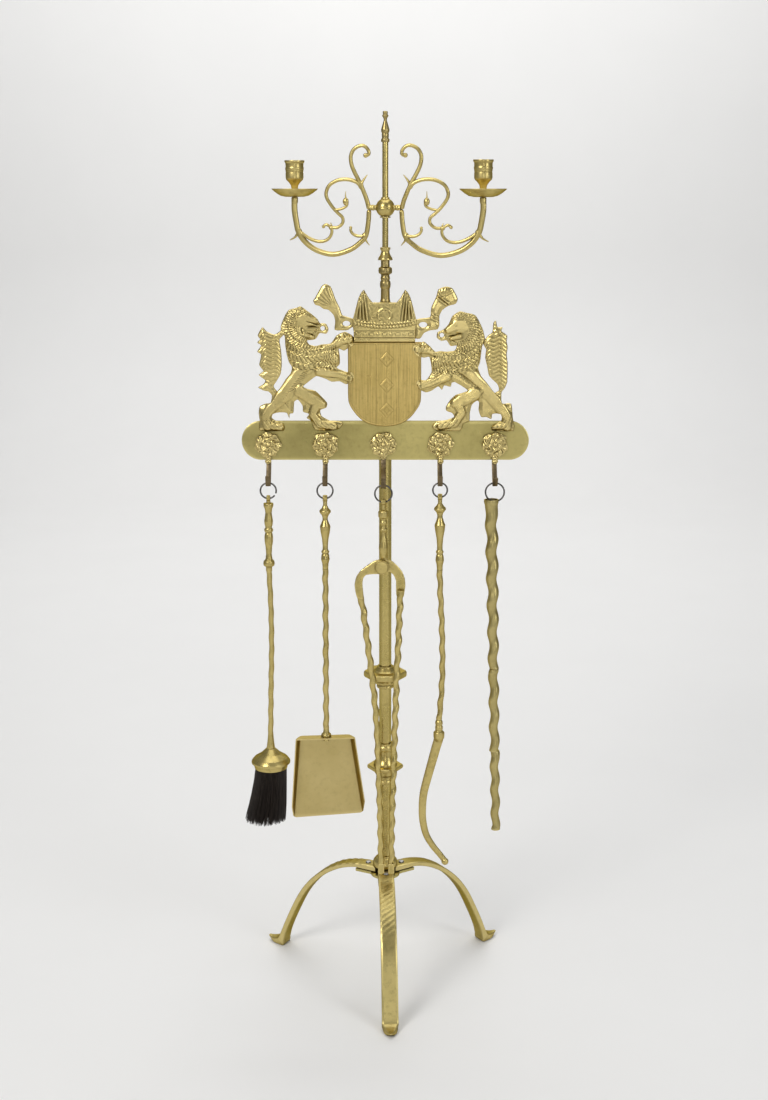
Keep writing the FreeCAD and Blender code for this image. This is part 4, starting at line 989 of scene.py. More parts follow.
def hook_line(ys, ll=15.0, lipdeg=30.0):
    yb = BAR_Y0 - STRAP_T / 2
    tr, lip = 3.2, math.radians(lipdeg)
    cy, cz = ys, 738.1 + tr
    rc = tr + STRAP_T / 2
    a0, a1 = math.radians(-20), math.radians(-180 + lipdeg)
    t1 = (cy + rc * math.cos(a0), cz + rc * math.sin(a0))
    d1 = (math.sin(a0), -math.cos(a0))
    p1 = (yb, 772.0)
    b = [p1, (yb, 757.0), (t1[0] - d1[0] * 16.0, t1[1] - d1[1] * 16.0), t1]
    line = [(yb, 805.8), (yb, 790.0), (yb, 780.0)]
    for i in range(21):
        t = i / 20.0
        c = [(1 - t) ** 3, 3 * t * (1 - t) ** 2, 3 * t * t * (1 - t), t ** 3]
        line.append((sum(c[k] * b[k][0] for k in range(4)), sum(c[k] * b[k][1] for k in range(4))))
    for i in range(1, 19):
        a = a0 + (a1 - a0) * i / 18.0
        line.append((cy + rc * math.cos(a), cz + rc * math.sin(a)))
    dy, dz = -math.sin(lip), math.cos(lip)
    ly, lz = line[-1]
    for k in range(1, 7):
        line.append((ly + dy * ll * k / 6, lz + dz * ll * k / 6))
    return line


def hook_skin(x, ys, ll=15.0, lipdeg=30.0):
    line = hook_line(ys, ll, lipdeg)
    pts = [(x, y, z) for y, z in line]
    P = np.array(pts)
    d = np.r_[0, np.cumsum(np.linalg.norm(np.diff(P, axis=0), axis=1))]
    L = d[-1]
    ext = [0, 0.3, 0.7]
    ts = sorted(set(ext + list(d[1:-1]) + [L - 3.0, L - 2.2, L - 1.5, L - 0.9, L - 0.45, L - 0.2, L]))
    Q = np.array([[np.interp(t, d, P[:, c]) for c in range(3)] for t in ts])
    T = np.gradient(Q, axis=0)
    T /= np.linalg.norm(T, axis=1)[:, None]
    X = np.array([1.0, 0, 0])
    v, f = [], []
    n = 0
    for i in range(len(Q)):
        nrm = np.cross(X, T[i])
        hw, ht = STRAP_W / 2, STRAP_T / 2
        e = L - ts[i]
        if e < 3.0:
            hw *= math.sqrt(max(0.02, 1 - (1 - e / 3.0) ** 2)) * 0.35 + 0.65
        if e < 0.9:
            ht *= 0.6 + 0.4 * e / 0.9
        if ts[i] < 0.6:
            ht *= 0.8
        c = 0.5
        sec = []
        for sx, sn, flip in ((-1, -1, 0), (1, -1, 0), (1, 1, 0), (-1, 1, 0)):
            a = (sx * hw, sn * (ht - c)) if (sx, sn) in ((-1, -1), (1, 1)) else (sx * (hw - c), sn * ht)
            b = (sx * (hw - c), sn * ht) if (sx, sn) in ((-1, -1), (1, 1)) else (sx * hw, sn * (ht - c))
            sec += [a, (sx * (hw - 0.3 * c), sn * (ht - 0.3 * c)), b]
        n = len(sec)
        for a, b in sec:
            v.append((Q[i] + X * a + nrm * b).tolist())
    m = len(Q)
    for i in range(m - 1):
        for j in range(n):
            a, b = i * n + j, i * n + (j + 1) % n
            f.append((a, b, b + n, a + n))
    f.append(tuple(range(n))[::-1])
    f.append(tuple(range((m - 1) * n, m * n)))
    return v, f




for k in SLOT_X:
    # the plain strap; the cast leaf socket just under the plate is built with the rosettes
    mk = Mesh().add(*hook_skin(SLOT_X[k], SLOT_Y[k], *((17.0, 45.0) if k == "pipe" else (15.0, 30.0))))
    build("hook_%s_skin" % k, mk, "strap", "stand", ["hook_" + k], angle=35, fix=False)


def rosette(x, seed):
    """Cast foliate boss: rings of curled leaves round a small head-like knot."""
    R = 19.4
    out = []
    for i in range(150):
        a = 2 * math.pi * i / 150
        k = 0.925 + 0.05 * math.cos(7 * a + seed) + 0.035 * math.sin(4 * a + seed * 2) + 0.02 * math.sin(13 * a + seed * 3)
        if abs((a - math.pi / 2 + math.pi) % (2 * math.pi) - math.pi) < 0.5:
            k *= 0.97
        r = R * min(k, 1.0)
        out.append((x + r * math.cos(a), ROS_Z + 0.97 * r * math.sin(a)))

    def h(P, D):
        X, Z = P[:, 0] - x, P[:, 1] - ROS_Z
        w1 = np.sin(X * 0.42 + seed * 2.3) * np.cos(Z * 0.37 - seed)
        w2 = np.cos(X * 0.31 - seed * 1.1) * np.sin(Z * 0.45 + seed * 1.7)
        X2, Z2 = X + 1.5 * w1, Z + 1.5 * w2
        r = np.hypot(X2, Z2)
        th = np.arctan2(Z2, X2)
        base = 2.4 + 3.0 * np.clip(1 - (r / 18.5) ** 2, 0, 1)
        # ragged outer leaves
        ph = 7 * th + seed + 0.7 * np.sin(r * 0.5)
        leaf = (0.5 + 0.5 * np.cos(ph)) ** 0.6
        band = np.exp(-((r - 14.4) / 3.6) ** 2)
        base += 1.7 * leaf * band
        base += 0.35 * np.cos(ph * 3 + 0.6) * band
        base -= 0.7 * np.exp(-((r - 10.6) / 0.9) ** 2) * (0.5 + 0.5 * np.cos(4 * th - seed))
        # inner leaves
        ph2 = 5 * th - seed * 1.3 + 0.8 * np.sin(r * 0.7)
        band2 = np.exp(-((r - 7.4) / 2.6) ** 2)
        base += 1.5 * (0.5 + 0.5 * np.cos(ph2)) * band2
        base += 0.3 * np.cos(ph2 * 3) * band2
        # knot of small curls in the middle and two above it
        for cx, cz, rr, hh_ in ((0.3, 0.6, 3.0, 2.0), (-3.9, 12.9, 2.8, 1.3), (3.9, 13.1, 2.8, 1.3), (5.4, 3.6, 3.2, 1.2), (-5.4, 1.6, 3.0, 1.0), (-0.6, -7.0, 3.4, 1.2), (6.0, -5.4, 2.6, 0.8)):
            q = np.hypot(X - cx, Z - cz) / rr
            base += hh_ * dome(q, 0.6)
            base -= 0.35 * np.exp(-((q - 0.45) / 0.16) ** 2) * (q < 1)
        return np.clip(base, 1.2, 9.3)
    v, f = relief(out, BAR_Y0 - STRAP_T, h, 0.62)
    return v, f


m1 = Mesh()
for i, (k, x) in enumerate(ROS_X.items()):
    m1.add(*rosette(x, 0.7 + i * 1.9))
    zl = 764.6 if k != "tongs" else 771.1
    lug = [(x - 4.5, 781.0), (x - 4.6, zl + 9.0), (x - 4.0, zl + 6.5), (x - 4.6, zl + 4.0), (x - 3.4, zl + 1.2), (x, zl), (x + 3.4, zl + 1.2), (x + 4.6, zl + 4.0), (x + 4.0, zl + 6.5), (x + 4.6, zl + 9.0), (x + 4.5, 781.0)]

    def lug_h(P, D, x=x, zl=zl):
        h = 0.9 + 1.3 * np.clip(D / 2.6, 0, 1) ** 0.7
        h -= 0.7 * np.exp(-((P[:, 0] - x) / 0.55) ** 2)
        h += 0.35 * np.sin((P[:, 1] - zl) * 1.7 + np.abs(P[:, 0] - x) * 1.2)
        return np.clip(h, 0.6, 2.6)
    m1.add(*relief(lug, BAR_Y0 - STRAP_T - 1.5, lug_h, 0.55))
    # stud or short rivet at the back of each
    if k != "tongs":
        v, f = revolve([(0, 0), (2.0, 0), (2.0, 9.3), (1.6, 9.7), (0, 9.7)], 0, 0, 24, 0.0)
        v = [(x + a, BAR_Y0 - STRAP_T - 0.9 + c, ROS_Z + b) for a, b, c in v]
        m1.add(v, [t[::-1] for t in f])
build("rosettes_skin", m1, "brass_cast", "stand", ["rosettes"], angle=60, fix=False)

# strap round the back of the column and the flat strap behind the crest
br = []
hexpts = [(AF / math.sqrt(3) * math.cos(math.radians(60 * i)), AF / math.sqrt(3) * math.sin(math.radians(60 * i))) for i in range(6)]
inner = [(-9.0, -8.2), (-9.45, 0.0), (-4.75, 8.25), (4.75, 8.25), (9.45, 0.0), (9.0, -8.2)]
outer = [(30, -8.2), (30, -5.6), (12.2, -5.6), (12.2, 10.8), (-12.2, 10.8), (-12.2, -5.6), (-30, -5.6), (-30, -8.2)]
br = outer + inner
m1 = Mesh().add(*prism(br, 784.0, 812.0))
bk = [(-30, 826.2), (30, 826.2), (30, 850), (46, 866), (52, 871.0), (64, 872.5), (100, 882.0), (100, 892), (64, 883.0), (52, 882.0), (46, 886), (30, 938.4),
      (-30, 938.4), (-46, 896), (-52, 893.5), (-66, 893.5), (-100, 902), (-100, 892.5), (-66, 885.0), (-52, 883.5), (-46, 878), (-30, 850)]
m1.add(*slab(bk, BAR_Y0, BAR_Y1))
build("rear_brackets_skin", m1, "brass_satin", "stand", ["rear_brackets"], bevel=0.6, segs=2)
m1 = Mesh()


def ybolt(x, z, y0, y1, r, head, hz):
    v, f = revolve([(0, 0), (r, 0), (r, y1 - y0), (head, y1 - y0), (head, y1 - y0 + hz * 0.6), (head * 0.8, y1 - y0 + hz), (0, y1 - y0 + hz)], 0, 0, 24, 0.25)
    return [(x + a, y0 + c, z + b) for a, b, c in v], [t[::-1] for t in f]


for z in (850.0, 905.0):
    m1.add(*ybolt(0, z, BAR_Y0 - 2.6, -4.6, 2.0, 2.0, 0.15))
for x, z in ((-93.0, 895.0), (92.0, 885.0)):
    m1.add(*ybolt(x, z, BAR_Y0 - 2.6, BAR_Y1 + 0.05, 2.0, 3.6, 1.9))
for x in (-158.0, -74.0, 74.0, 158.0):
    m1.add(*ybolt(x, 816.0, BAR_Y0 - 2.6, BAR_Y1 + 0.05, 2.0, 3.6, 1.9))
for x in (-20.0, 20.0):
    for z in (789.0, 807.0):
        m1.add(*ybolt(x, z, BAR_Y0 + 0.1, BAR_Y1 + 2.65, 2.0, 3.6, 1.9))
for k, x in ROS_X.items():
    if k != "tongs":
        m1.add(*slab([(x - 3.5, ROS_Z - 3.5), (x + 3.5, ROS_Z - 3.5), (x + 3.5, ROS_Z + 3.5), (x - 3.5, ROS_Z + 3.5)], BAR_Y1, BAR_Y1 + 3.0))
build("rear_fixings_skin", m1, "steel", "stand", ["rear_fixings"], bevel=0.3, fix=False)


# ------------------------------------------------------------------ crest
SH_X = 51.5
sh_half = [(0, 938.0), (SH_X, 938.0), (SH_X, 862.0), (49.5, 850.0), (44.0, 840.5), (36.0, 831.0), (26.0, 824.0), (14.0, 820.0), (0, 818.6)]
shield_out = [(x - 1.0, z) for x, z in sh_half + [(-x, z) for x, z in sh_half[::-1][1:-1]]]


def round_low(poly):
    """Shield outline with its lower curve made smooth."""
    half = [(SH_X, 938.0), (SH_X, 900.0), (SH_X, 862.0), (49.5, 850.0), (44.0, 840.5), (36.0, 831.0), (26.0, 824.0), (14.0, 820.0), (0, 818.7)]
    right = catmull(half[1:] + [(-14.0, 820.0)], 6)[:-6]
    right = [half[0]] + right
    left = [(-x, z) for x, z in right[::-1][1:]]
    return [(x - 1.0, z) for x, z in right + left]


def shield_height(P, D):
    X, Z = P[:, 0], P[:, 1]
    h = np.full(len(P), 4.7)
    h += 0.5 * np.clip(1 - (np.abs(X + 1) / 52) ** 2, 0, 1)          # gently bowed
    h -= 1.5 * np.clip(1 - D / 1.6, 0, 1) ** 2                         # rounded rim
    h -= 0.25 * np.exp(-((D - 3.2) / 0.5) ** 2)                        # line inside the rim
    pale = (np.abs(X - 3.0) < 16.0)
    h += np.where(pale, 0.22, 0.0) * np.clip((16.0 - np.abs(X - 3.0)) / 0.6, 0, 1)
    # three plain lozenges down the middle
    for cz in (914.0, 877.5, 842.0):
        u = np.abs(X - 2.0) / 9.5 + np.abs(Z - cz) / 10.5
        h += 0.40 * np.clip((1 - u) / 0.14, 0, 1)
        h -= 0.36 * np.clip((0.60 - u) / 0.14, 0, 1)
        h -= 0.18 * np.exp(-((u - 1.12) / 0.07) ** 2)
    return np.clip(h, 1.0, 6.0)


build("shield_skin", Mesh().add(*relief(round_low(None), BAR_Y0, shield_height, 0.62)), "brass_shield", "stand", ["shield"], angle=60, fix=False)

cr_half = [(0, 937.9), (42.6, 937.9), (43.4, 946.0), (43.4, 953.5), (45.0, 962.0), (44.4, 969.0), (43.2, 975.0), (41.2, 982.5), (39.2, 990.0), (37.6, 996.0), (35.6, 1002.0),
           (32.6, 1007.6), (29.0, 1011.5), (26.0, 1006.0), (22.5, 1000.0), (17.0, 993.6), (8.0, 993.6), (0, 993.6)]
crown_out = [(x - 1.0, z) for x, z in cr_half + [(-x, z) for x, z in cr_half[::-1][1:-1]]]


def crown_height(P, D):
    X, Z = P[:, 0] + 1.0, P[:, 1]
    h = np.full(len(P), 4.8)
    h += 1.1 * np.sqrt(np.clip(1 - (X / 47) ** 2, 0, 1))
    h -= 1.2 * np.clip(1 - D / 1.4, 0, 1) ** 2
    # base mouldings
    h += 1.0 * dome((Z - 941.2) / 2.4)
    h -= 0.8 * np.exp(-((Z - 944.6) / 0.5) ** 2)
    # jewelled band
    for k in range(-4, 5):
        cx = k * 9.2
        if k % 2 == 0:
            q = np.maximum(np.abs(X - cx) / 3.2, np.abs(Z - 949.6) / 2.2)
            h += 0.9 * np.clip((1 - q) / 0.2, 0, 1)
        else:
            q = np.hypot(X - cx, Z - 949.6) / 2.2
            h += 1.0 * dome(q)
    h -= 0.6 * np.exp(-((Z - 954.2) / 0.5) ** 2)
    # two rows of pearls, hanging in a shallow curve
    for k in range(-9, 10):
        cx = k * 4.5
        q = np.hypot(X - cx, Z - 959.4 - 0.003 * cx * cx) / 2.35
        h += 1.7 * dome(q)
    for k in range(-8, 9):
        cx = k * 4.7 + 1.0
        q = np.hypot(X - cx, Z - 963.9 - 0.003 * cx * cx) / 1.8
        h += 0.9 * dome(q)
    # low foliage in the middle
    wm = np.clip((Z - 966.0) / 2.0, 0, 1) * np.clip((22.0 - np.abs(X)) / 3.0, 0, 1)
    tex = 0.5 + 0.5 * np.cos(X * 0.55 + 1.3 * np.sin(Z * 0.33)) * np.cos(Z * 0.5 + 1.1 * np.sin(X * 0.3))
    h += wm * (0.9 * tex - 0.2)
    # pointed side leaves: long ribs that fan out towards the tip
    for s in (-1, 1):
        for c0, c1 in (((24, 969), (29.5, 1008)), ((29, 969), (31.5, 1004)), ((34.5, 969.5), (33.5, 1000)), ((40, 971), (35.5, 995))):
            a, b = np.array([s * c0[0], c0[1]], float), np.array([s * c1[0], c1[1]], float)
            d, t = seg_dist(np.c_[X, Z], a, b)
            h += 0.9 * np.exp(-(d / 1.1) ** 2)
            h -= 0.55 * np.exp(-((d - 2.2) / 0.7) ** 2)
    # little front arch under the stem
    q = np.abs(np.hypot(X, (Z - 976)) - 9.0) / 1.3
    h += 1.0 * dome(np.clip(q, 0, 1)) * (Z > 970)
    return np.clip(h, 1.2, 8.0)


m1 = Mesh().add(*relief(crown_out, BAR_Y0, crown_height, 0.62))
# thick back of the crown and the boss that takes the candle rod
back = [(x * 0.985 - 0.015, z) for x, z in crown_out]
v, f = slab([(x, 938.6 + (z - 938.6) * 0.993) for x, z in back], BAR_Y0 - 0.2, BAR_Y1)
m1.add(v, f)
m1.add(*revolve([(0, 976), (9.5, 976), (11.2, 990), (7.2, 994), (0, 994)], 0, 0, 64, 0.8))
build("crown_skin", m1, "brass_cast", "stand", ["crown"], angle=60, fix=False)


# supporters and mantling: outlines in (x, z)
L_BODY = [(-146.8, 956.0), (-145.3, 964.6), (-140.2, 976.1), (-135.1, 983.2), (-126.5, 985.4), (-118.7, 988.2), (-112.3, 984.0),
          (-103.7, 977.5), (-95.2, 970.4), (-91.7, 964.6), (-83.0, 963.5), (-79.6, 956.0), (-83.0, 949.5), (-92.0, 950.5), (-98.2, 941.7),
          (-109.7, 940.2), (-106.9, 934.5), (-98.3, 932.3), (-89.7, 934.5), (-76.8, 935.9), (-68.1, 947.4), (-56.7, 952.4), (-46.6, 947.4),
          (-40.9, 938.8), (-51.0, 930.2), (-58.2, 925.8), (-65.3, 928.7), (-63.9, 917.2), (-64.0, 907.1), (-68.3, 901.3), (-54.0, 895.5),
          (-46.8, 895.5), (-43.9, 888.3), (-48.3, 881.1), (-55.5, 878.2), (-64.1, 882.5), (-75.6, 881.8), (-84.2, 886.1), (-97.1, 889.8),
          (-107.2, 882.5), (-115.9, 875.3), (-110.1, 871.7), (-98.6, 868.8), (-90.1, 860.8), (-82.2, 852.1), (-82.9, 845.5), (-91.6, 841.9),
          (-90.2, 833.2), (-78.7, 826.6), (-68.6, 825.9), (-59.2, 823.0), (-64.3, 815.7), (-75.9, 812.0), (-98.9, 813.0), (-104.7, 825.9),
          (-111.1, 830.2), (-107.5, 836.1), (-116.1, 839.0), (-116.8, 847.7), (-123.2, 856.4), (-128.3, 853.5), (-129.0, 846.3),
          (-129.8, 837.5), (-134.9, 836.1), (-135.6, 829.5), (-139.2, 837.5), (-149.3, 838.3), (-158.7, 836.1), (-160.2, 830.2),
          (-153.7, 825.9), (-143.6, 821.5), (-143.7, 812.0), (-176.9, 812.0), (-177.5, 825.9), (-178.8, 837.5), (-177.3, 846.3),
          (-169.3, 850.6), (-161.4, 852.1), (-153.3, 866.6), (-147.5, 873.8), (-140.2, 885.4), (-133.0, 894.1), (-131.5, 902.8),
          (-135.7, 910.0), (-138.5, 920.1), (-140.5, 933.0), (-141.2, 946.0)]
L_TAIL = [(-172.5, 958.9), (-179.1, 947.4), (-175.6, 941.7), (-179.9, 937.4), (-174.2, 933.0), (-180.1, 924.4), (-174.4, 920.1),
          (-177.4, 905.7), (-171.7, 897.0), (-178.3, 891.2), (-169.0, 884.0), (-171.9, 878.2), (-179.2, 873.8), (-172.0, 869.5),
          (-164.8, 868.0), (-159.9, 862.2), (-161.4, 851.0), (-152.0, 862.0), (-152.6, 868.0), (-157.6, 875.3), (-153.2, 882.5),
          (-147.4, 892.6), (-145.8, 902.8), (-145.7, 917.2), (-147.0, 930.2), (-148.5, 941.7), (-141.0, 950.0), (-143.5, 958.9),
          (-148.3, 952.7), (-156.2, 948.4), (-166.2, 952.7)]
R_BODY = [(81.5, 955.6), (88.6, 962.8), (94.2, 974.7), (104.2, 981.1), (114.2, 979.0), (125.7, 976.1), (131.5, 967.5), (137.3, 954.6),
          (140.3, 940.2), (136.0, 931.6), (133.4, 910.0), (130.6, 901.3), (135.0, 889.8), (143.7, 879.6), (152.4, 868.0), (162.6, 857.9),
          (165.5, 850.6), (177.8, 850.6), (180.1, 831.7), (181.8, 812.0), (151.5, 812.0), (151.4, 818.6), (164.3, 827.3), (162.8, 836.1),
          (151.3, 836.1), (149.9, 828.8), (142.6, 831.7), (135.4, 831.7), (131.7, 841.9), (132.4, 852.1), (129.5, 855.0), (122.3, 849.2),
          (119.5, 837.5), (118.9, 825.9), (110.0, 822.0), (106.0, 812.0), (72.1, 812.0), (66.3, 818.6), (72.0, 825.1), (86.4, 827.3),
          (97.2, 831.7), (94.3, 837.5), (86.4, 840.4), (85.6, 846.3), (92.0, 856.4), (99.2, 863.0), (110.7, 866.6), (116.4, 869.5),
          (106.3, 876.7), (94.8, 882.5), (91.9, 874.6), (83.3, 876.7), (79.7, 870.2), (74.7, 875.3), (66.1, 869.5), (57.5, 866.6),
          (48.8, 870.9), (43.7, 879.6), (47.3, 884.7), (57.4, 884.0), (65.2, 895.5), (63.8, 910.0), (61.6, 917.2), (54.4, 915.8),
          (45.8, 918.6), (38.6, 927.3), (40.0, 933.0), (48.6, 935.9), (54.3, 938.8), (63.0, 931.6), (70.1, 924.4), (77.3, 925.1),
          (85.9, 924.4), (97.4, 925.8), (100.2, 933.0), (91.6, 932.3), (86.0, 940.5), (78.6, 939.5), (72.4, 944.0), (73.0, 951.5)]
R_TAIL = [(139.3, 940.2), (144.5, 947.4), (150.2, 951.7), (151.5, 964.6), (155.0, 968.2), (157.3, 958.9), (164.4, 958.9), (163.1, 953.2),
          (171.0, 947.4), (170.4, 938.8), (171.9, 930.2), (170.6, 920.1), (172.1, 908.5), (172.2, 897.0), (171.7, 881.1), (168.2, 872.4),
          (163.9, 866.6), (163.3, 849.5), (152.5, 864.0), (160.3, 869.5), (158.1, 878.2), (146.4, 889.8), (143.5, 902.8), (140.5, 915.8),
          (141.8, 927.3), (138.0, 934.0)]
L_PLUME = [(-100.9, 996.0), (-98.0, 1000.3), (-89.3, 1015.9), (-83.6, 1019.5), (-76.5, 1015.9), (-72.9, 1007.4), (-69.4, 997.4),
           (-63.7, 986.0), (-60.2, 975.9), (-50.0, 972.5), (-43.0, 969.5), (-43.0, 962.0), (-52.4, 955.0), (-61.0, 954.4), (-71.0, 955.1),
           (-70.2, 967.3), (-72.4, 975.9), (-79.5, 983.1), (-86.6, 984.5), (-92.3, 988.8), (-98.0, 990.2)]
R_PLUME = [(74.1, 1011.7), (84.1, 1015.9), (94.1, 1013.1), (101.3, 998.8), (98.5, 991.7), (88.5, 988.8), (80.0, 983.1), (75.7, 974.5),
           (75.8, 961.6), (72.9, 955.8), (62.9, 954.4), (54.3, 950.6), (49.0, 943.0), (41.0, 943.6), (40.4, 957.3), (41.0, 968.5),
           (49.0, 971.0), (62.8, 973.1), (64.2, 986.0), (71.3, 1001.7)]


def strokes(P, items, base):
    """Raises rounded limbs: each item is (points, radii, height)."""
    h = base
    for pts, rad, hh in items:
        d, share, arc = line_dist(P, pts, rad)
        h = smax(h, base * 0.35 + hh * dome(np.clip(share, 0, 1), 0.6), 0.7)
    return h


def grooves(P, h, items):
    """Cut lines (negative) and raised lines (positive): (points, width, amount)."""
    for pts, w_, a in items:
        d, _, arc = line_dist(P, pts)
        L = sum(math.hypot(pts[i + 1][0] - pts[i][0], pts[i + 1][1] - pts[i][1]) for i in range(len(pts) - 1))
        end = np.clip(np.minimum(arc, L - arc) / (0.22 * L + 1e-6), 0.25, 1)
        h = h + a * np.exp(-(d / w_) ** 2) * end
    return h


def locks(P, cx, cz, per_rad, length, seed=0.0):
    """Overlapping tufts of hair that fan out from a point; gives 0 in the partings and 1 on the locks."""
    X, Z = P[:, 0] - cx, P[:, 1] - cz
    u, th = np.hypot(X, Z), np.arctan2(Z, X)
    row = th * per_rad + 0.38 * np.sin(u * 2 * math.pi / length + seed) + 0.16 * np.sin(u * 2 * math.pi / (length * 0.45) + 2.1 * seed)
    i = np.floor(row)
    cross = np.abs(np.sin(math.pi * (row - i))) ** 0.75
    along = (u / (length * 1.15) + 0.618 * i + 0.1 * seed) % 1.0
    return cross * (0.62 + 0.38 * np.clip(along / 0.85, 0, 1)) * np.clip((1.0 - along) / 0.15 + 0.35, 0, 1)


def left_lion(P, D):
    X, Z = P[:, 0], P[:, 1]
    base = 1.7 + 2.2 * np.clip(D / 5.0, 0, 1) ** 0.7
    limbs = [
        ([(-128, 968), (-112, 970)], [15, 15], 5.6),                      # skull
        ([(-112, 972), (-94, 967)], [6.5, 4.2], 6.2),                     # upper jaw
        ([(-113, 949), (-102, 945)], [5.5, 3.6], 5.4),                    # lower jaw
        ([(-126, 952), (-122, 925), (-112, 905)], [15, 17, 15], 5.4),     # neck and chest
        ([(-104, 920), (-82, 922), (-72, 914)], [13, 12, 9], 5.7),        # breast
        ([(-84, 930), (-62, 940), (-50, 942)], [7, 7, 6], 6.2),           # raised foreleg
        ([(-92, 897), (-66, 892), (-50, 887)], [8, 6, 6], 6.1),           # lower foreleg
        ([(-121, 895), (-132, 880), (-141, 866)], [11, 12, 14], 5.6),     # belly into rump
        ([(-146, 862), (-160, 846), (-168, 834), (-166, 818)], [13, 9.5, 8.5, 7], 6.0),   # rear leg
        ([(-120, 870), (-100, 856), (-90, 849)], [11, 10, 8.5], 6.1),     # front thigh
        ([(-98, 846), (-103, 836), (-92, 822), (-72, 818)], [8, 6.5, 7, 6], 5.9),         # shin and foot
        ([(-160, 819), (-148, 817)], [6.5, 5.5], 5.8),
    ]
    h = strokes(P, limbs, base)
    # mane and chest: locks lying away from the face
    ang = np.arctan2(Z - 960, X + 104)
    mane = ((np.hypot(X + 112, Z - 962) > 15) | (X < -124)) & (Z > 899) & (X < -88)
    f1 = locks(P, -108.0, 966.0, 8.5, 12.0, 0.4)
    h = np.where(mane, h - 1.5 * (1 - f1), h)
    breast = (X > -106) & (X < -69) & (Z > 899) & (Z < 934)
    f2 = locks(P, -96.0, 1000.0, 24.0, 11.0, 1.2)
    h = np.where(breast & ~mane, h - 1.5 * (1 - f2), h)
    g = []
    # face
    g += [([(-116, 977), (-104, 972), (-93, 966)], 0.9, 0.9), ([(-114, 969), (-103, 965), (-93, 961)], 0.8, -1.3),
          ([(-119, 962), (-120, 954), (-117, 947)], 0.9, 1.0), ([(-116, 960), (-117, 953), (-114, 948)], 0.8, -1.3),
          ([(-112, 957), (-98, 955), (-91, 952)], 0.8, 1.2), ([(-112, 960), (-100, 960), (-94, 959)], 1.2, -2.2),
          ([(-113, 952), (-103, 949), (-99, 947)], 0.8, -1.3), ([(-112, 974.5), (-109, 973.5)], 1.2, -1.4), ([(-120, 985), (-114, 981), (-112, 978)], 1.0, 1.0)]
    # raised paw: claws and sinews
    for k in range(4):
        x0 = -76 + k * 7.5
        g += [([(x0, 934.5 + k * 2.0), (x0 + 4.5, 941 + k * 1.4), (x0 + 3.5, 948 + k * 0.6)], 1.0, -1.5)]
    g += [([(-84, 928), (-70, 933), (-56, 937)], 0.8, -0.8)]
    # lower paw
    g += [([(-84, 895), (-66, 893.5), (-50, 889)], 0.9, -1.3), ([(-82, 889), (-66, 888), (-52, 883)], 0.8, -1.1), ([(-80, 899), (-64, 897.2), (-52, 893.4)], 0.7, -0.9)]
    # ribs across belly and haunch
    for k in range(8):
        t = k / 7
        cx, cz = -113 - 20 * t, 896 - 26 * t
        g += [([(cx - 7, cz - 2.5), (cx, cz - 0.5), (cx + 8, cz + 3.5)], 0.85, -1.1)]
    # toes of the feet
    for k in range(4):
        g += [([(-101 + k * 7.5, 831 - k * 2.5), (-96 + k * 8.0, 822.5 - k * 1.0), (-86 + k * 7.0, 815.0)], 0.85, -1.3)]
        g += [([(-172 + k * 6.2, 832 - k * 1.5), (-167 + k * 6.5, 821), (-160 + k * 5.5, 814.0)], 0.85, -1.2)]
    g += [([(-108, 868), (-95, 861), (-84, 851)], 0.8, 0.5), ([(-154, 858), (-141, 852), (-134, 842)], 0.8, -0.5)]
    h = grooves(P, h, g)
    h = h - 1.0 * np.clip(1 - D / 1.0, 0, 1) ** 2
    over = inside(P, shield_out) * np.clip(ring_dist(P, shield_out) / 3.0, 0, 1)
    return np.clip(h + 2.2 * over, 0.9 + 5.2 * over, 6.45 + 1.8 * over)


def tail_height(sign):
    def f(P, D):
        X, Z = P[:, 0], P[:, 1]
        h = 1.6 + 2.3 * np.clip(D / 7.0, 0, 1) ** 0.6
        cx = -162.0 if sign < 0 else 157.0
        bend = 0.028 * (X - cx) ** 2
        ph = (Z + bend * (1 if sign < 0 else 1) + 1.6 * np.sin(X * 0.42)) * 2 * math.pi / 5.6
        w_ = np.clip((Z - 858) / 8.0, 0, 1)
        h += 0.85 * w_ * (np.abs(np.sin(ph / 2)) ** 0.6 - 0.55)
        h -= 0.7 * np.clip(1 - D / 1.0, 0, 1) ** 2
        return np.clip(h, 0.8, 4.45)
    return f


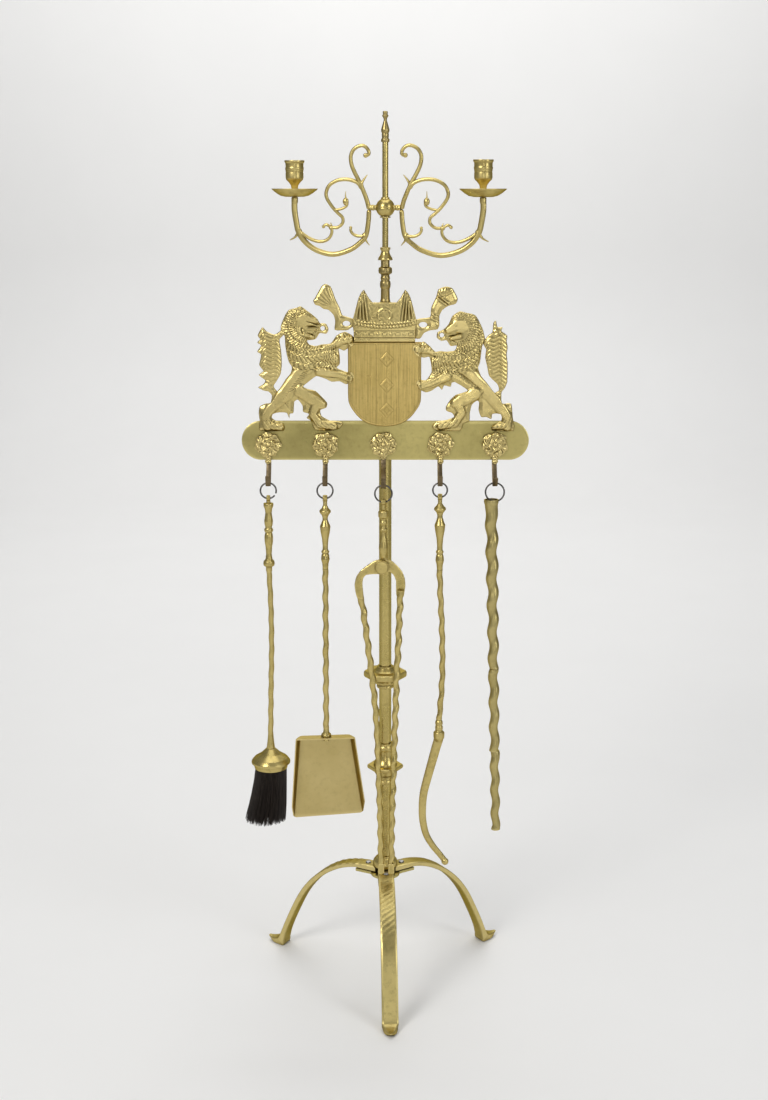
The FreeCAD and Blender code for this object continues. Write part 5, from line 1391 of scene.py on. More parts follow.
def right_lion(P, D):
    X, Z = P[:, 0], P[:, 1]
    base = 1.7 + 2.2 * np.clip(D / 5.0, 0, 1) ** 0.7
    limbs = [
        ([(118, 962), (104, 962)], [14, 14], 5.7),
        ([(101, 962), (88, 955)], [9.5, 5.5], 6.2),
        ([(104, 946), (93, 943)], [5.0, 3.4], 5.2),
        ([(120, 950), (120, 922), (112, 904)], [14, 15, 14], 5.4),
        ([(102, 915), (80, 915), (70, 908)], [12, 11, 9], 5.7),
        ([(78, 920), (62, 927), (46, 928)], [6.5, 6.5, 6.5], 6.2),
        ([(86, 890), (64, 880), (50, 876)], [9, 7.5, 7], 6.1),
        ([(118, 895), (130, 882), (146, 868)], [11, 12, 14], 5.6),
        ([(150, 864), (162, 846), (172, 832), (172, 818)], [13, 10, 8.5, 7.5], 6.0),
        ([(128, 866), (108, 856), (100, 852)], [11, 11, 9], 6.1),
        ([(102, 852), (108, 838), (98, 823), (78, 819)], [8.5, 7, 7, 6], 5.9),
        ([(168, 820), (154, 819)], [6.5, 6.0], 5.8),
    ]
    h = strokes(P, limbs, base)
    ang = np.arctan2(Z - 955, X - 96)
    mane = ((np.hypot(X - 100, Z - 956) > 17) | (X > 118)) & (Z > 897) & (X > 84)
    f1 = locks(P, 96.0, 958.0, 9.0, 12.0, 0.9)
    h = np.where(mane, h - 1.5 * (1 - f1), h)
    breast = (X < 104) & (X > 67) & (Z > 893) & (Z < 926)
    f2 = locks(P, 88.0, 1000.0, 25.0, 11.0, 0.3)
    h = np.where(breast & ~mane, h - 1.5 * (1 - f2), h)
    g = [([(104, 975), (92, 968), (84, 958)], 1.0, 0.8), ([(86, 946), (98, 948), (108, 951)], 0.8, -1.5), ([(84, 949.5), (97, 952), (108, 954.5)], 0.8, 0.8),
         ([(97, 960), (101, 961)], 1.3, -1.4), ([(106, 975), (101, 980), (96, 977)], 1.0, 0.8), ([(90, 942), (99, 938), (103, 934)], 0.8, -0.9)]
    for k in range(4):
        g += [([(44 + k * 6, 921 + k * 1.2), (48 + k * 6.2, 928 + k * 0.5), (51 + k * 6, 936 - k * 1.3)], 0.95, -1.4)]
    g += [([(50, 929), (60, 932), (72, 928)], 0.8, -0.9)]
    for dz in (-4.5, 0.3, 4.8):
        g += [([(50, 876 + dz), (64, 880 + dz), (80, 889 + dz * 1.2)], 0.9, -1.3)]
    for k in range(8):
        t = k / 7
        cx, cz = 104 + 26 * t, 894 - 20 * t
        g += [([(cx - 8, cz + 2.5), (cx, cz), (cx + 7, cz - 3.5)], 0.85, -1.05)]
    for k in range(4):
        g += [([(104 - k * 8, 832 - k * 2.4), (99 - k * 8.5, 823.5 - k * 1.0), (91 - k * 7, 815.0)], 0.85, -1.3)]
        g += [([(178 - k * 6.0, 833 - k * 1.6), (173 - k * 6.2, 822), (166 - k * 5, 814.5)], 0.85, -1.2)]
    g += [([(96, 874), (88, 862), (88, 850)], 0.8, -0.6), ([(140, 872), (132, 858), (128, 850)], 0.8, -0.6)]
    h = grooves(P, h, g)
    h = h - 1.0 * np.clip(1 - D / 1.0, 0, 1) ** 2
    over = inside(P, shield_out) * np.clip(ring_dist(P, shield_out) / 3.0, 0, 1)
    return np.clip(h + 2.2 * over, 0.9 + 5.2 * over, 6.45 + 1.8 * over)


def circle(cx, cz, r, n=18, sx=1.0):
    return [(cx + sx * r * math.cos(2 * math.pi * i / n), cz + r * math.sin(2 * math.pi * i / n)) for i in range(n)]


m1 = Mesh().add(*relief(smooth_closed(L_BODY, 3), BAR_Y0 - 0.06, left_lion, 0.8, holes=[circle(-88.0, 957.2, 3.3)]))
m1.add(*relief(smooth_closed(L_TAIL, 3), BAR_Y0 + 0.02, tail_height(-1), 0.85))
build("lion_left_skin", m1, "brass_cast", "stand", ["lion_left"], angle=70, fix=False)
m1 = Mesh().add(*relief(smooth_closed(R_BODY, 3), BAR_Y0 - 0.06, right_lion, 0.8, holes=[circle(79.4, 947.6, 3.2)]))
m1.add(*relief(smooth_closed(R_TAIL, 3), BAR_Y0 + 0.02, tail_height(1), 0.85))
build("lion_right_skin", m1, "brass_cast", "stand", ["lion_right"], angle=70, fix=False)


def plume_height(side):
    def f(P, D):
        X, Z = P[:, 0], P[:, 1]
        h = 1.4 + 2.4 * np.clip(D / 5.0, 0, 1) ** 0.6
        if side < 0:
            for k in range(6):
                a = (-68.0, 985.0)
                b = (-97.0 + k * 3.5, 995.0 + k * 4.6)
                d, _, arc = line_dist(P, [a, (a[0] * 0.4 + b[0] * 0.6 - 1, a[1] * 0.4 + b[1] * 0.6), b])
                h -= 0.7 * np.exp(-(d / 0.75) ** 2) * np.clip(arc / 12, 0, 1)
        else:
            for c0, c1 in (((60, 974.5), (76, 966)), ((62, 979), (78, 971)), ((70, 1002), (86, 990)), ((72, 1005.5), (90, 991.5))):
                d, _ = seg_dist(P, np.array(c0, float), np.array(c1, float))
                h += 0.9 * np.exp(-(d / 0.8) ** 2)
                h -= 0.5 * np.exp(-((d - 2.0) / 0.7) ** 2)
            for k in range(5):
                d, _ = seg_dist(P, np.array((78.0, 1000.0)), np.array((78.0 + k * 5.2, 1016.0 - k * 1.4)))
                h -= 0.45 * np.exp(-(d / 0.7) ** 2)
        h -= 0.8 * np.clip(1 - D / 1.0, 0, 1) ** 2
        return np.clip(h, 0.8, 4.9)
    return f


m1 = Mesh().add(*relief(smooth_closed(L_PLUME, 3), BAR_Y0 - 0.5, plume_height(-1), 0.8, holes=[circle(-54.5, 964.0, 3.9, 18, 1.35)]))
m1.add(*relief(smooth_closed(R_PLUME, 3), BAR_Y0 - 0.5, plume_height(1), 0.8, holes=[circle(53.0, 962.3, 4.0, 18, 1.45)]))
build("plumes_skin", m1, "brass_cast", "stand", ["plumes"], angle=70, fix=False)

# ------------------------------------------------------------------ candle rod
build("crown_stem_skin", Mesh().add(*revolve([(0, 994), (7.4, 994), (6.4, 998), (6.2, 1012), (7.2, 1014), (7.6, 1018.5), (7.2, 1022), (6.0, 1023.5), (6.0, 1024.5),
      (6.6, 1026), (6.6, 1028), (5.9, 1029.5), (5.9, 1032), (9.4, 1034.0), (9.6, 1037.5), (9.4, 1041), (6.1, 1043), (6.1, 1052), (0, 1052)], 0, 0, 72, 0.7)), "brass_dark", "stand", ["crown_stem"], angle=45)
build("bell_nut_skin", Mesh().add(*revolve([(4.25, 1052.0), (10.3, 1052.0), (10.1, 1054.5), (7.6, 1058.5), (6.0, 1062.5), (5.7, 1065.0), (7.2, 1067.5), (7.2, 1069.8), (4.25, 1070.0)], 0, 0, 72, 0.8, True)), "brass", "stand", ["bell_nut"], angle=45)
build("candle_rod_skin", Mesh().add(*revolve([(0, 1056), (4.2, 1056)] + [(4.2, 1140), (4.2, 1200)] + [(4.2, 1225.8), (0, 1226)], 0, 0, 48, 0.1)), "brass_rod", "stand", ["candle_rod"], angle=45)
build("finial_skin", Mesh().add(*revolve([(4.25, 1215.5), (5.8, 1215.5), (5.9, 1219.5), (4.6, 1220.6), (4.6, 1221.8), (4.95, 1223), (4.95, 1226.5), (4.4, 1227.5), (5.7, 1229.5), (5.9, 1232.5),
      (4.2, 1238.5), (2.4, 1244.5), (2.3, 1247), (3.4, 1249.6), (4.7, 1251.4), (3.0, 1253.6), (3.5, 1254.6), (3.5, 1257.4), (1.2, 1257.9), (0, 1257.9)], 0, 0, 64, 0.6)), "brass_dark", "stand", ["finial"], angle=45)


# ------------------------------------------------------------------ candle carriage
def turn(vf, a=-YAW):
    v, f = vf
    return rotz(v, a), f


build("ball_bush_skin", Mesh().add(*revolve([(4.26, 1110.9), (7.4, 1110.9), (7.4, 1112.8), (5.9, 1112.8), (5.9, 1139.4), (4.26, 1139.4)], 0, 0, 64, 0.35, True)), "brass", "candle_slide", ["ball_bush"])
bp = [(5.96, 1125 - 11.83)]
for i in range(31):
    a = math.radians(-63.2 + 126.4 * i / 30)
    rr = 13.25 * math.cos(a)
    zz = 1125 + 13.25 * math.sin(a)
    if abs(zz - 1125) < 0.8:
        rr -= 0.35
    bp.append((rr, zz))
bp.append((5.96, 1125 + 11.83))
build("ball_skin", Mesh().add(*turn(revolve(bp, 0, 0, 96, 0.15, True))), "brass", "candelabra", ["ball"], angle=50)

# thumb screw at the back
v, f = revolve([(0, 6.4), (1.92, 6.4), (1.92, 14.8), (3.4, 14.8), (3.4, 16.4), (5.8, 16.4), (6.4, 17.0), (6.4, 19.8), (5.8, 20.4), (0, 20.4)], 0, 0, 96, 0.25)
v = np.asarray(v)
rr = np.hypot(v[:, 0], v[:, 1])
th = np.arctan2(v[:, 1], v[:, 0])
k = (rr > 5.9)
sc_ = np.where(k, 1 - 0.035 * (0.5 + 0.5 * np.cos(th * 24)), 1.0)
v = np.c_[v[:, 0] * sc_, v[:, 2], 1125.0 + v[:, 1] * sc_]
build("height_screw_skin", Mesh().add(rotz(v, -YAW), [t[::-1] for t in f]), "brass", "height_screw", ["height_screw"], angle=30)


# scroll arms: centre lines in (reach, z)
MAIN = [(23.4, 1122.5), (24.6, 1104.1), (28.2, 1085.7), (36.7, 1076.0), (51.2, 1066.1), (75.6, 1059.4), (99.8, 1064.9), (116.8, 1076.5),
        (126.4, 1090.3), (129.8, 1104.1), (132.4, 1122.5), (132.0, 1138.4)]
STEM = [(23.4, 1122.5), (26.9, 1136.3), (35.4, 1156.9), (43.7, 1172.9), (48.5, 1184.3), (49.7, 1195.7), (46.0, 1204.8), (38.8, 1209.8),
        (31.6, 1210.6), (25.4, 1206.0), (23.6, 1199.6), (28.0, 1196.4)]
INNER = [(124.0, 1090.3), (111.9, 1082.2), (98.6, 1077.6), (86.5, 1078.8), (79.2, 1085.7), (77.9, 1094.9), (84.9, 1101.0), (90.4, 1098.4)]
LOOP = [(77.9, 1097.2), (69.3, 1097.2), (62.1, 1103.0), (62.0, 1111.0), (69.3, 1117.9), (77.7, 1127.1), (84.9, 1138.6), (85.3, 1147.5),
        (80.0, 1156.9), (67.9, 1163.2), (53.4, 1164.0), (41.3, 1160.2), (35.4, 1154.6)]
BUD = [(72.9, 1121.5), (63.3, 1123.2), (56.0, 1127.5), (55.0, 1134.0), (57.4, 1140.0), (57.1, 1147.8)]
HOOKI = [(28.5, 1085.7), (39.1, 1085.2), (46.4, 1088.0), (50.0, 1092.6), (50.0, 1097.2)]
SPURO = [(126.6, 1091.0), (131.5, 1083.5), (139.8, 1078.8)]
SPURI = [(30.0, 1086.0), (27.5, 1078.5), (22.6, 1072.4)]
SPIKE = [(35.0, 1157.0), (31.5, 1163.0), (25.6, 1170.6)]


def arm_skin(scale, reach, side):
    def pp(p):
        return [(23.4 + (x - 23.4) * scale, 0.0, z) for x, z in p]
    m = Mesh()
    m.add(*round_tube(pp(MAIN), 3.3, 4.3, 20, 0.84, 9, True, False, rmid=3.7))
    m.add(*round_tube(pp(STEM), 3.2, 2.4, 18, 0.92, 9))
    m.add(*round_tube(pp(INNER), 2.6, 2.0, 16, 0.95, 8))
    m.add(*round_tube(pp(LOOP), 2.2, 2.8, 16, 0.92, 8))
    m.add(*round_tube(pp(BUD), 1.9, 0.35, 14, 1.0, 8, rmid=1.9))
    m.add(*round_tube(pp(HOOKI), 2.4, 1.9, 14, 0.95, 8))
    m.add(*round_tube(pp(SPURO), 2.6, 0.6, 14, 0.8, 8))
    m.add(*round_tube(pp(SPURI), 2.2, 0.5, 14, 0.9, 8))
    m.add(*round_tube(pp(SPIKE), 2.4, 0.5, 14, 0.9, 8))
    # bud: drop shape, curled ends as small balls, knots at the joints

    def ball(x, z, r, sx=1.0, sz=1.0, sy=0.8):
        v, f = revolve([(0, -1)] + [(math.cos(math.radians(a)), math.sin(math.radians(a))) for a in range(-75, 90, 15)] + [(0, 1)], 0, 0, 24, 0)
        x = 23.4 + (x - 23.4) * scale
        v = [(x + a * r * sx, b * r * sy, z + c * r * sz) for a, b, c in v]
        m.add(v, f)
    ball(57.2, 1133.4, 4.3, 1.0, 1.25, 0.75)
    ball(28.4, 1197.2, 3.3, 1.0, 1.0, 0.85)
    ball(89.8, 1098.2, 2.4)
    ball(50.0, 1097.0, 2.2)
    ball(78.2, 1096.4, 3.2, 1.1, 1.0, 0.75)
    ball(29.6, 1085.6, 4.2, 1.0, 1.2, 0.75)
    ball(125.8, 1090.4, 4.4, 1.0, 1.3, 0.72)
    ball(35.2, 1155.6, 3.7, 1.0, 1.4, 0.72)
    ball(72.6, 1121.4, 2.6, 1.0, 1.1, 0.8)
    # small tapered knot at the inner scroll's start
    m.add(*round_tube([(23.4 + (77.5 - 23.4) * scale, 0, 1098.5), (23.4 + (79.5 - 23.4) * scale, 0, 1104.0)], 1.5, 0.5, 12, 0.9, 6))
    # arm's stub into the ball: turned, with two beads
    v, f = revolve([(0, 8.5), (4.0, 8.5), (4.0, 13.4), (3.3, 14.4), (3.3, 15.2), (4.0, 16.2), (4.0, 18.2), (3.6, 19.4), (3.9, 22.0), (0, 22.2)], 0, 0, 32, 0.5)
    m.add([(c, a, 1125.0 + b) for a, b, c in v], f)
    # socket the pan sits on
    m.add(*revolve([(0, 1131.0), (4.3, 1131.0), (4.6, 1133.0), (4.6, 1138.6), (4.1, 1139.6), (0, 1139.6)], reach, 0, 32, 0.4))
    return m.v, m.f


for side, turn_, reach in (("left", 180.0, 132.0), ("right", 0.0, 138.5)):
    a = math.radians(turn_) - YAW
    sc_ = (reach - 23.4) / (132.0 - 23.4)
    v, f = arm_skin(sc_, reach, side)
    build("arm_%s_skin" % side, Mesh().add(rotz(v, a), f), "brass", "candelabra", ["arm_" + side], angle=60, fix=False)
    v, f = revolve([(2.05, 1139.8), (13.0, 1139.8), (20.0, 1141.4), (26.0, 1145.0), (30.0, 1148.2), (32.5, 1150.3), (32.5, 1151.4), (31.6, 1151.4), (29.0, 1149.3), (25.6, 1146.6),
                    (19.4, 1142.7), (12.6, 1141.2), (2.05, 1141.2)], reach, 0, 128, 0.5, True, wob=0.0015)
    build("drip_pan_%s_skin" % side, Mesh().add(rotz(v, a), f), "brass", "candelabra", ["drip_pan_" + side], angle=45)
    v, f = revolve([(0, 1134.0), (1.95, 1134.0), (1.95, 1141.4), (6.6, 1141.4), (6.8, 1143.2), (5.0, 1145.6), (4.5, 1151.0), (5.4, 1156.2), (8.6, 1160.6),
                    (11.6, 1163.4), (12.6, 1166.0), (12.6, 1173.0), (12.2, 1173.6), (12.2, 1174.4), (12.6, 1175.0), (12.6, 1177.0), (13.1, 1178.4), (13.1, 1180.2), (12.6, 1181.6),
                    (12.7, 1186.6), (14.1, 1188.6), (14.1, 1190.9), (11.2, 1190.9), (11.2, 1171.0), (0, 1171.0)], reach, 0, 96, 0.5)
    build("candle_cup_%s_skin" % side, Mesh().add(rotz(v, a), f), "brass", "candelabra", ["candle_cup_" + side], angle=40)


# ------------------------------------------------------------------ rings
for i, k in enumerate(SLOT_X):
    R = RING_R[k]
    gap = {"brush": (-37.0, -20.0), "shovel": (14.0, 15.5), "tongs": (-60.5, -59.0), "poker": (160.0, 161.5), "pipe": (20.0, 21.5)}[k]
    a0, a1 = math.radians(gap[1]), math.radians(gap[0]) + 2 * math.pi
    path = []
    for j in range(97):
        a = a0 + (a1 - a0) * j / 96
        path.append((SLOT_X[k] + R * math.cos(a), SLOT_Y[k] + (0.0), RING_TOP - R + R * math.sin(a)))

    def sec(s, L):
        r = 1.19
        if s < 0.35 or L - s < 0.35:
            r *= 0.86
        return circle_section(r, 16)
    build("ring_%s_skin" % k, Mesh().add(*sweep(path, sec)), "wire", "ring_" + k, ["ring_" + k], angle=50)


def eye_mesh(k, r_out, half, neck_z, r_hole=2.45):
    """Lug with a cross hole (along x) on a short neck: a ring of section round the hole."""
    x, y = SLOT_X[k], SLOT_Y[k]
    z = RING_TOP - 2 * RING_R[k] + 0.25
    n = 48
    prof = [(r_hole, -half + 0.5), (r_hole + 0.5, -half), (r_out - 0.7, -half), (r_out - 0.1, -half + 0.8), (r_out, 0), (r_out - 0.1, half - 0.8), (r_out - 0.7, half), (r_hole + 0.5, half), (r_hole, half - 0.5)]
    prof = soften(prof, 0.3, 2, True)
    v, f = [], []
    m = len(prof)
    for i in range(n):
        a = 2 * math.pi * i / n
        for r, t in prof:
            v.append((x + t, y + r * math.cos(a), z + r * math.sin(a)))
    for i in range(n):
        for j in range(m):
            a, b = i * m + j, i * m + (j + 1) % m
            c, d = ((i + 1) % n) * m + (j + 1) % m, ((i + 1) % n) * m + j
            f.append((a, b, c, d))
    me = Mesh().add(v, f)
    me.add(*revolve([(0, neck_z - 2.0), (3.0, neck_z - 2.0), (2.9, z - 3.6), (2.2, z - 3.0), (0, z - 2.75)], x, y, 32, 0.3))
    return me


# ------------------------------------------------------------------ hearth brush
x, y = SLOT_X["brush"], SLOT_Y["brush"]
me = eye_mesh("brush", 4.5, 2.6, 711.5)
me.add(*revolve([(0, 613.0), (4.4, 613.0), (4.4, 619.5), (7.6, 621.5), (8.1, 624.8), (7.6, 628.0), (5.0, 630.5), (4.0, 638.0), (4.6, 648.0), (5.9, 656.0),
         (6.1, 662.0), (5.5, 667.0), (4.6, 669.2), (6.2, 671.0), (6.2, 674.2), (4.6, 676.2), (5.6, 680.5), (6.2, 685.5), (5.4, 691.0), (4.5, 697.5),
         (5.2, 703.0), (7.0, 707.5), (7.0, 711.4), (0, 711.5)], x, y, 72, 0.7))
build("brush_handle_skin", me, "brass", "brush", ["brush_handle"], angle=45, fix=False)
me = Mesh().add(*revolve([(0, 352.0), (6.2, 352.0), (5.0, 360.0), (4.0, 371.0), (3.7, 376.0), (0, 376.0)], x, y, 48, 0.6))
me.add(*twisted_bar([(x, y, 372), (x + 0.9, y, 430), (x + 2.5, y, 500), (x + 2.1, y, 560), (x, y, 613)], 3.85, 3.85, 54.0, lobes=2, depth=0.08, wave=0.35, wpitch=27.0))
build("brush_shaft_skin", me, "brass", "brush", ["brush_shaft"], angle=60, fix=False)
build("brush_cap_skin", Mesh().add(*revolve([(0, 347.2), (19.0, 323.0), (23.6, 323.0), (24.4, 330.0), (27.9, 330.4), (27.9, 333.6), (24.0, 338.5), (14.5, 344.5),
                      (6.6, 352.0), (0, 352.0)], x, y, 96, 0.9)), "brass", "brush", ["brush_cap"], angle=45)

hair = Mesh()
hair.add(*revolve([(0, 254.0), (19, 255), (22.5, 262), (22.0, 290), (21.6, 310), (21.0, 322.6), (0, 322.8)], x, y, 64, 1.0))
hair.v = [(px - 8.0 * ((322.8 - pz) / 77.8) ** 1.35 if True else px, py, pz) for px, py, pz in hair.v]


def hair_center(t):
    return x - 8.6 * t ** 1.35


for i in range(2600):
    u = random.random()
    rr = math.sqrt(0.30 + 0.70 * u)
    th = random.uniform(0, 2 * math.pi)
    z1 = 245.0 + (random.random() ** 2) * 7.0 + (4.0 if random.random() < 0.12 else 0.0)
    clump = 0.05 * math.sin(th * 23 + 1.1 * math.sin(th * 7))
    bend = random.uniform(-0.05, 0.05)
    w0 = random.uniform(0.55, 0.85)
    ring0 = []
    base = len(hair.v)
    K = 5
    for k in range(K):
        t = k / (K - 1)
        z = 322.7 - (322.7 - z1) * t
        R0 = 22.8 * rr
        R1 = 30.3 * rr * (1 - 0.02 * random.random())
        tt = (322.7 - z) / 77.8
        R = R0 + (R1 - R0) * (tt ** 1.25)
        a = th + clump * tt + bend * tt * tt
        cx = hair_center(tt)
        w_ = w0 * (1 - 0.55 * t)
        px, py = cx + (R - w_ * 0.6) * math.cos(a), y + (R - w_ * 0.6) * math.sin(a)
        for j in range(3):
            b = a + 2 * math.pi * j / 3
            hair.v.append((px + w_ * 0.5 * math.cos(b), py + w_ * 0.5 * math.sin(b), z))
    for k in range(K - 1):
        for j in range(3):
            a_, b_ = base + k * 3 + j, base + k * 3 + (j + 1) % 3
            hair.f.append((a_, a_ + 3, b_ + 3, b_))
    hair.f.append((base + (K - 1) * 3, base + (K - 1) * 3 + 1, base + (K - 1) * 3 + 2))
build("brush_bristles_skin", hair, "bristle", "brush", ["brush_bristles"], angle=60, fix=False)

# ------------------------------------------------------------------ shovel
x, y = SLOT_X["shovel"], SLOT_Y["shovel"]
me = eye_mesh("shovel", 4.7, 3.2, 708.0)
me.add(*revolve([(0, 616.0), (4.0, 616.0), (4.4, 624.0), (6.1, 630.5), (5.4, 637.0), (4.2, 638.8), (5.6, 640.3), (5.6, 642.2), (3.9, 644.0), (3.7, 650.0),
         (4.6, 660.0), (6.6, 670.0), (7.5, 678.0), (5.6, 682.5), (3.8, 687.0), (3.7, 690.5), (4.8, 694.0), (8.1, 698.5), (8.1, 700.5), (4.6, 704.5),
         (3.4, 708.0), (0, 708.0)], x, y, 72, 0.8))
build("shovel_handle_skin", me, "brass", "shovel", ["shovel_handle"], angle=45, fix=False)
me = Mesh().add(*revolve([(0, 362.4), (3.9, 363.2), (3.9, 366.2), (2.5, 366.2), (2.5, 370.0), (7.4, 370.0), (7.0, 373.0), (4.5, 375.5), (4.0, 380.0), (4.0, 384), (0, 384)], x, y, 48, 0.4))
me.add(*twisted_bar([(x, y, 382), (x, y, 450), (x, y, 530), (x, y, 616)], 4.25, 4.25, 54.0, lobes=2, depth=0.12, wave=0.65, wpitch=27.0, phase=0.8))
build("shovel_shaft_skin", me, "brass", "shovel", ["shovel_shaft"], angle=60, fix=False)


def shovel_skin():
    """Sheet pan: flat back, two sides and a top folded forward, open in front and below."""
    yb, yf = -24.2, -41.0
    th = 1.6
    nu, nv = 46, 40

    def back(u, v_):
        # u across 0..1, v down 0..1
        xl = -122.5 + (-131.5 + 122.5) * v_
        xr = -50.5 + (-33.0 + 50.5) * v_
        zt, zl, zr = 370.0, 247.0, 251.0
        z_bot = zl + (zr - zl) * u
        return np.array([xl + (xr - xl) * u, yb - th, zt - th + (z_bot - zt + th) * v_])

    def wall(u, v_):
        """Front edge of the folded wall beside a back point on the left (u=0), right (u=1)."""
        if u < 0.5:
            a, b = np.array([-128.0, yf, 370.0]), np.array([-134.4, yf, 269.0])
        else:
            a, b = np.array([-45.5, yf, 370.0]), np.array([-31.4, yf, 274.0])
        return a + (b - a) * v_
    # inner surface strip by strip: path across the section at each level v
    rows = []
    for j in range(nv + 1):
        v_ = j / nv
        L = wall(0, v_)
        B0, B1 = back(0.0, v_), back(1.0, v_)
        R = wall(1, v_)
        r = 4.5
        pts = [L + (B0 - L) * t for t in (0, 0.25, 0.5, 0.72)]
        eL = (B0 - L) / np.linalg.norm(B0 - L)
        eB = (B1 - B0) / np.linalg.norm(B1 - B0)
        eR = (R - B1) / np.linalg.norm(R - B1)
        for t in range(7):
            q = t / 6
            pts.append((1 - q) ** 2 * (B0 - eL * r) + 2 * q * (1 - q) * B0 + q * q * (B0 + eB * r))
        for t in range(1, 16):
            p = (B0 + eB * r) * (1 - t / 16) + (B1 - eB * r) * (t / 16)
            pts.append(p)
        for t in range(7):
            q = t / 6
            pts.append((1 - q) ** 2 * (B1 - eB * r) + 2 * q * (1 - q) * B1 + q * q * (B1 + eR * r))
        pts += [R + (B1 - R) * t for t in (0.72, 0.5, 0.25, 0)]
        rows.append(np.array(pts))
    V = np.array(rows)                      # (nv+1, k, 3)
    # rows for a rounded top fold, a wall across the top folded forward, are worked out here but not used; the section
    # rows are kept
    k = V.shape[1]
    verts, faces = [], []
    top = []
    for s_, dy in ((0.0, 1.0), (0.25, 0.75), (0.5, 0.5), (0.75, 0.25)):
        row = []
        for j in range(k):
            p = V[0, j].copy()
            yy = p[1]
            # top wall runs from the fold (s=1) to the front edge (s=0)
            p = np.array([p[0], yf + (yy - yf) * s_, 370.0 - th])
            row.append(p)
        top.append(np.array(row))
    S = np.concatenate([np.array(top), V[1:]], axis=0) if False else V
    V = S
    m_ = V.shape[0]
    # outer skin: offset by the thickness along normals
    du = np.gradient(V, axis=1)
    dv = np.gradient(V, axis=0)
    nn = np.cross(du, dv)
    nn /= np.linalg.norm(nn, axis=2)[:, :, None] + 1e-9
    if nn[m_ // 2, k // 2][1] < 0:
        nn = -nn
    inner = V
    outer = V + nn * (th * 0.92)
    me_ = Mesh()
    vv = np.vstack([inner.reshape(-1, 3), outer.reshape(-1, 3)])
    off = m_ * k
    ff = []
    for i in range(m_ - 1):
        for j in range(k - 1):
            a = i * k + j
            ff.append((a, a + 1, a + k + 1, a + k))
            ff.append((a + off, a + k + off, a + k + 1 + off, a + 1 + off))
    for i in range(m_ - 1):
        a = i * k
        ff.append((a, a + k, a + k + off, a + off))
        a = i * k + k - 1
        ff.append((a, a + off, a + k + off, a + k))
    for j in range(k - 1):
        ff.append((j, j + off, j + 1 + off, j + 1))
        a = (m_ - 1) * k + j
        ff.append((a, a + 1, a + 1 + off, a + off))
    me_.add(vv, ff)
    # top wall closes the upper end: sheet from the back to the front edge, between the two sides
    tw = [V[0, j] for j in range(k)]
    poly = [(p[0], p[1]) for p in tw]
    me_.add(*prism([(a, b) for a, b in poly], 368.3, 369.9))
    return me_


pm = shovel_skin()
pm.v = rotz(pm.v, math.radians(5.0), x, y).tolist()
build("shovel_pan_skin", pm, "pan", "shovel", ["shovel_pan"], angle=40, bevel=0.0)

# ------------------------------------------------------------------ tongs
x, y = SLOT_X["tongs"], SLOT_Y["tongs"]
ZP, PX = 624.0, -5.0
me = eye_mesh("tongs", 4.7, 3.2, 704.0)
me.add(*revolve([(0, 636.0), (3.6, 636.0), (4.4, 641.0), (6.0, 646.0), (6.6, 652.0), (5.6, 660.0), (4.0, 668.0), (3.6, 674.0), (5.6, 676.0), (5.6, 678.4),
         (3.8, 680.4), (3.8, 684.0), (5.4, 686.0), (5.4, 688.2), (4.0, 690.4), (4.6, 693.0), (7.2, 695.5), (7.4, 703.0), (5.0, 705.0), (0, 705.0)], x, y, 72, 0.7))
tang = [(x - 3.6, 644.0), (x + 3.6, 644.0), (x + 4.4, 634.0), (PX + 8.0, 630.0), (PX + 8.6, 622.0), (PX + 5.5, 617.0), (PX, 615.4),
        (PX - 5.5, 617.0), (PX - 8.6, 622.0), (PX - 8.0, 630.0), (x - 4.4, 636.0)]


def flat(h0, e=0.5):
    def f(P, D):
        return h0 - e * np.clip(1 - D / (e * 1.2), 0, 1) ** 2
    return f


me.add(*relief(tang, y + 1.5, flat(3.0, 0.35), 0.9, holes=[circle(PX, ZP, 2.56, 24)]))
build("tongs_handle_skin", me, "brass", "tongs", ["tongs_handle"], angle=45, fix=False)
v, f = revolve([(0, -8.2), (8.3, -8.2), (8.6, -7.5), (9.1, -7.5), (9.4, -8.0), (10.0, -7.8), (10.3, -7.2), (10.3, -6.35), (2.5, -6.35), (2.5, 6.2), (4.2, 6.2), (4.2, 6.9), (3.2, 7.6), (0, 7.6)], 0, 0, 48, 0.3)
build("tongs_pivot_skin", Mesh().add([(PX + a, y + c, ZP + b) for a, b, c in v], [t[::-1] for t in f]), "brass", "tongs", ["tongs_pivot"], angle=40)
TL = [(-36.8, 588.0), (-35.2, 580.0), (-31.8, 566.0), (-27.8, 536.0), (-24.4, 507.8), (-21.3, 484.4), (-17.5, 452.1), (-13.4, 409.2), (-11.4, 376.6), (-9.4, 312.5),
      (-8.0, 277.9), (-6.4, 208.5), (-5.8, 170.0)]
TR = [(21.8, 590.0), (20.8, 573.4), (19.6, 545.8), (18.3, 507.8), (15.9, 460.9), (15.0, 427.0), (13.4, 381.1), (11.4, 312.5), (10.2, 277.9),
      (9.2, 232.7), (8.6, 170.0)]
SHL = [(PX, 614.2), (PX - 3, 634.2), (-12.7, 634.0), (-21.5, 629.1), (-33.8, 619.8), (-40.9, 610.0), (-43.2, 599.2), (-42.2, 590.1), (-39.6, 580.0),
       (-31.0, 578.0), (-31.4, 590.9), (-32.1, 599.2), (-31.1, 608.2), (-26.8, 613.2), (-16.2, 614.4)]
SHR = [(PX, 614.2), (PX + 2, 634.2), (2.0, 634.0), (8.4, 631.6), (16.5, 624.6), (24.0, 615.4), (27.8, 604.6), (28.4, 595.6), (27.0, 586.0), (25.4, 579.0),
       (16.4, 579.0), (15.3, 588.0), (15.1, 593.8), (15.1, 602.8), (11.9, 611.0), (6.7, 615.6), (1.4, 615.6)]


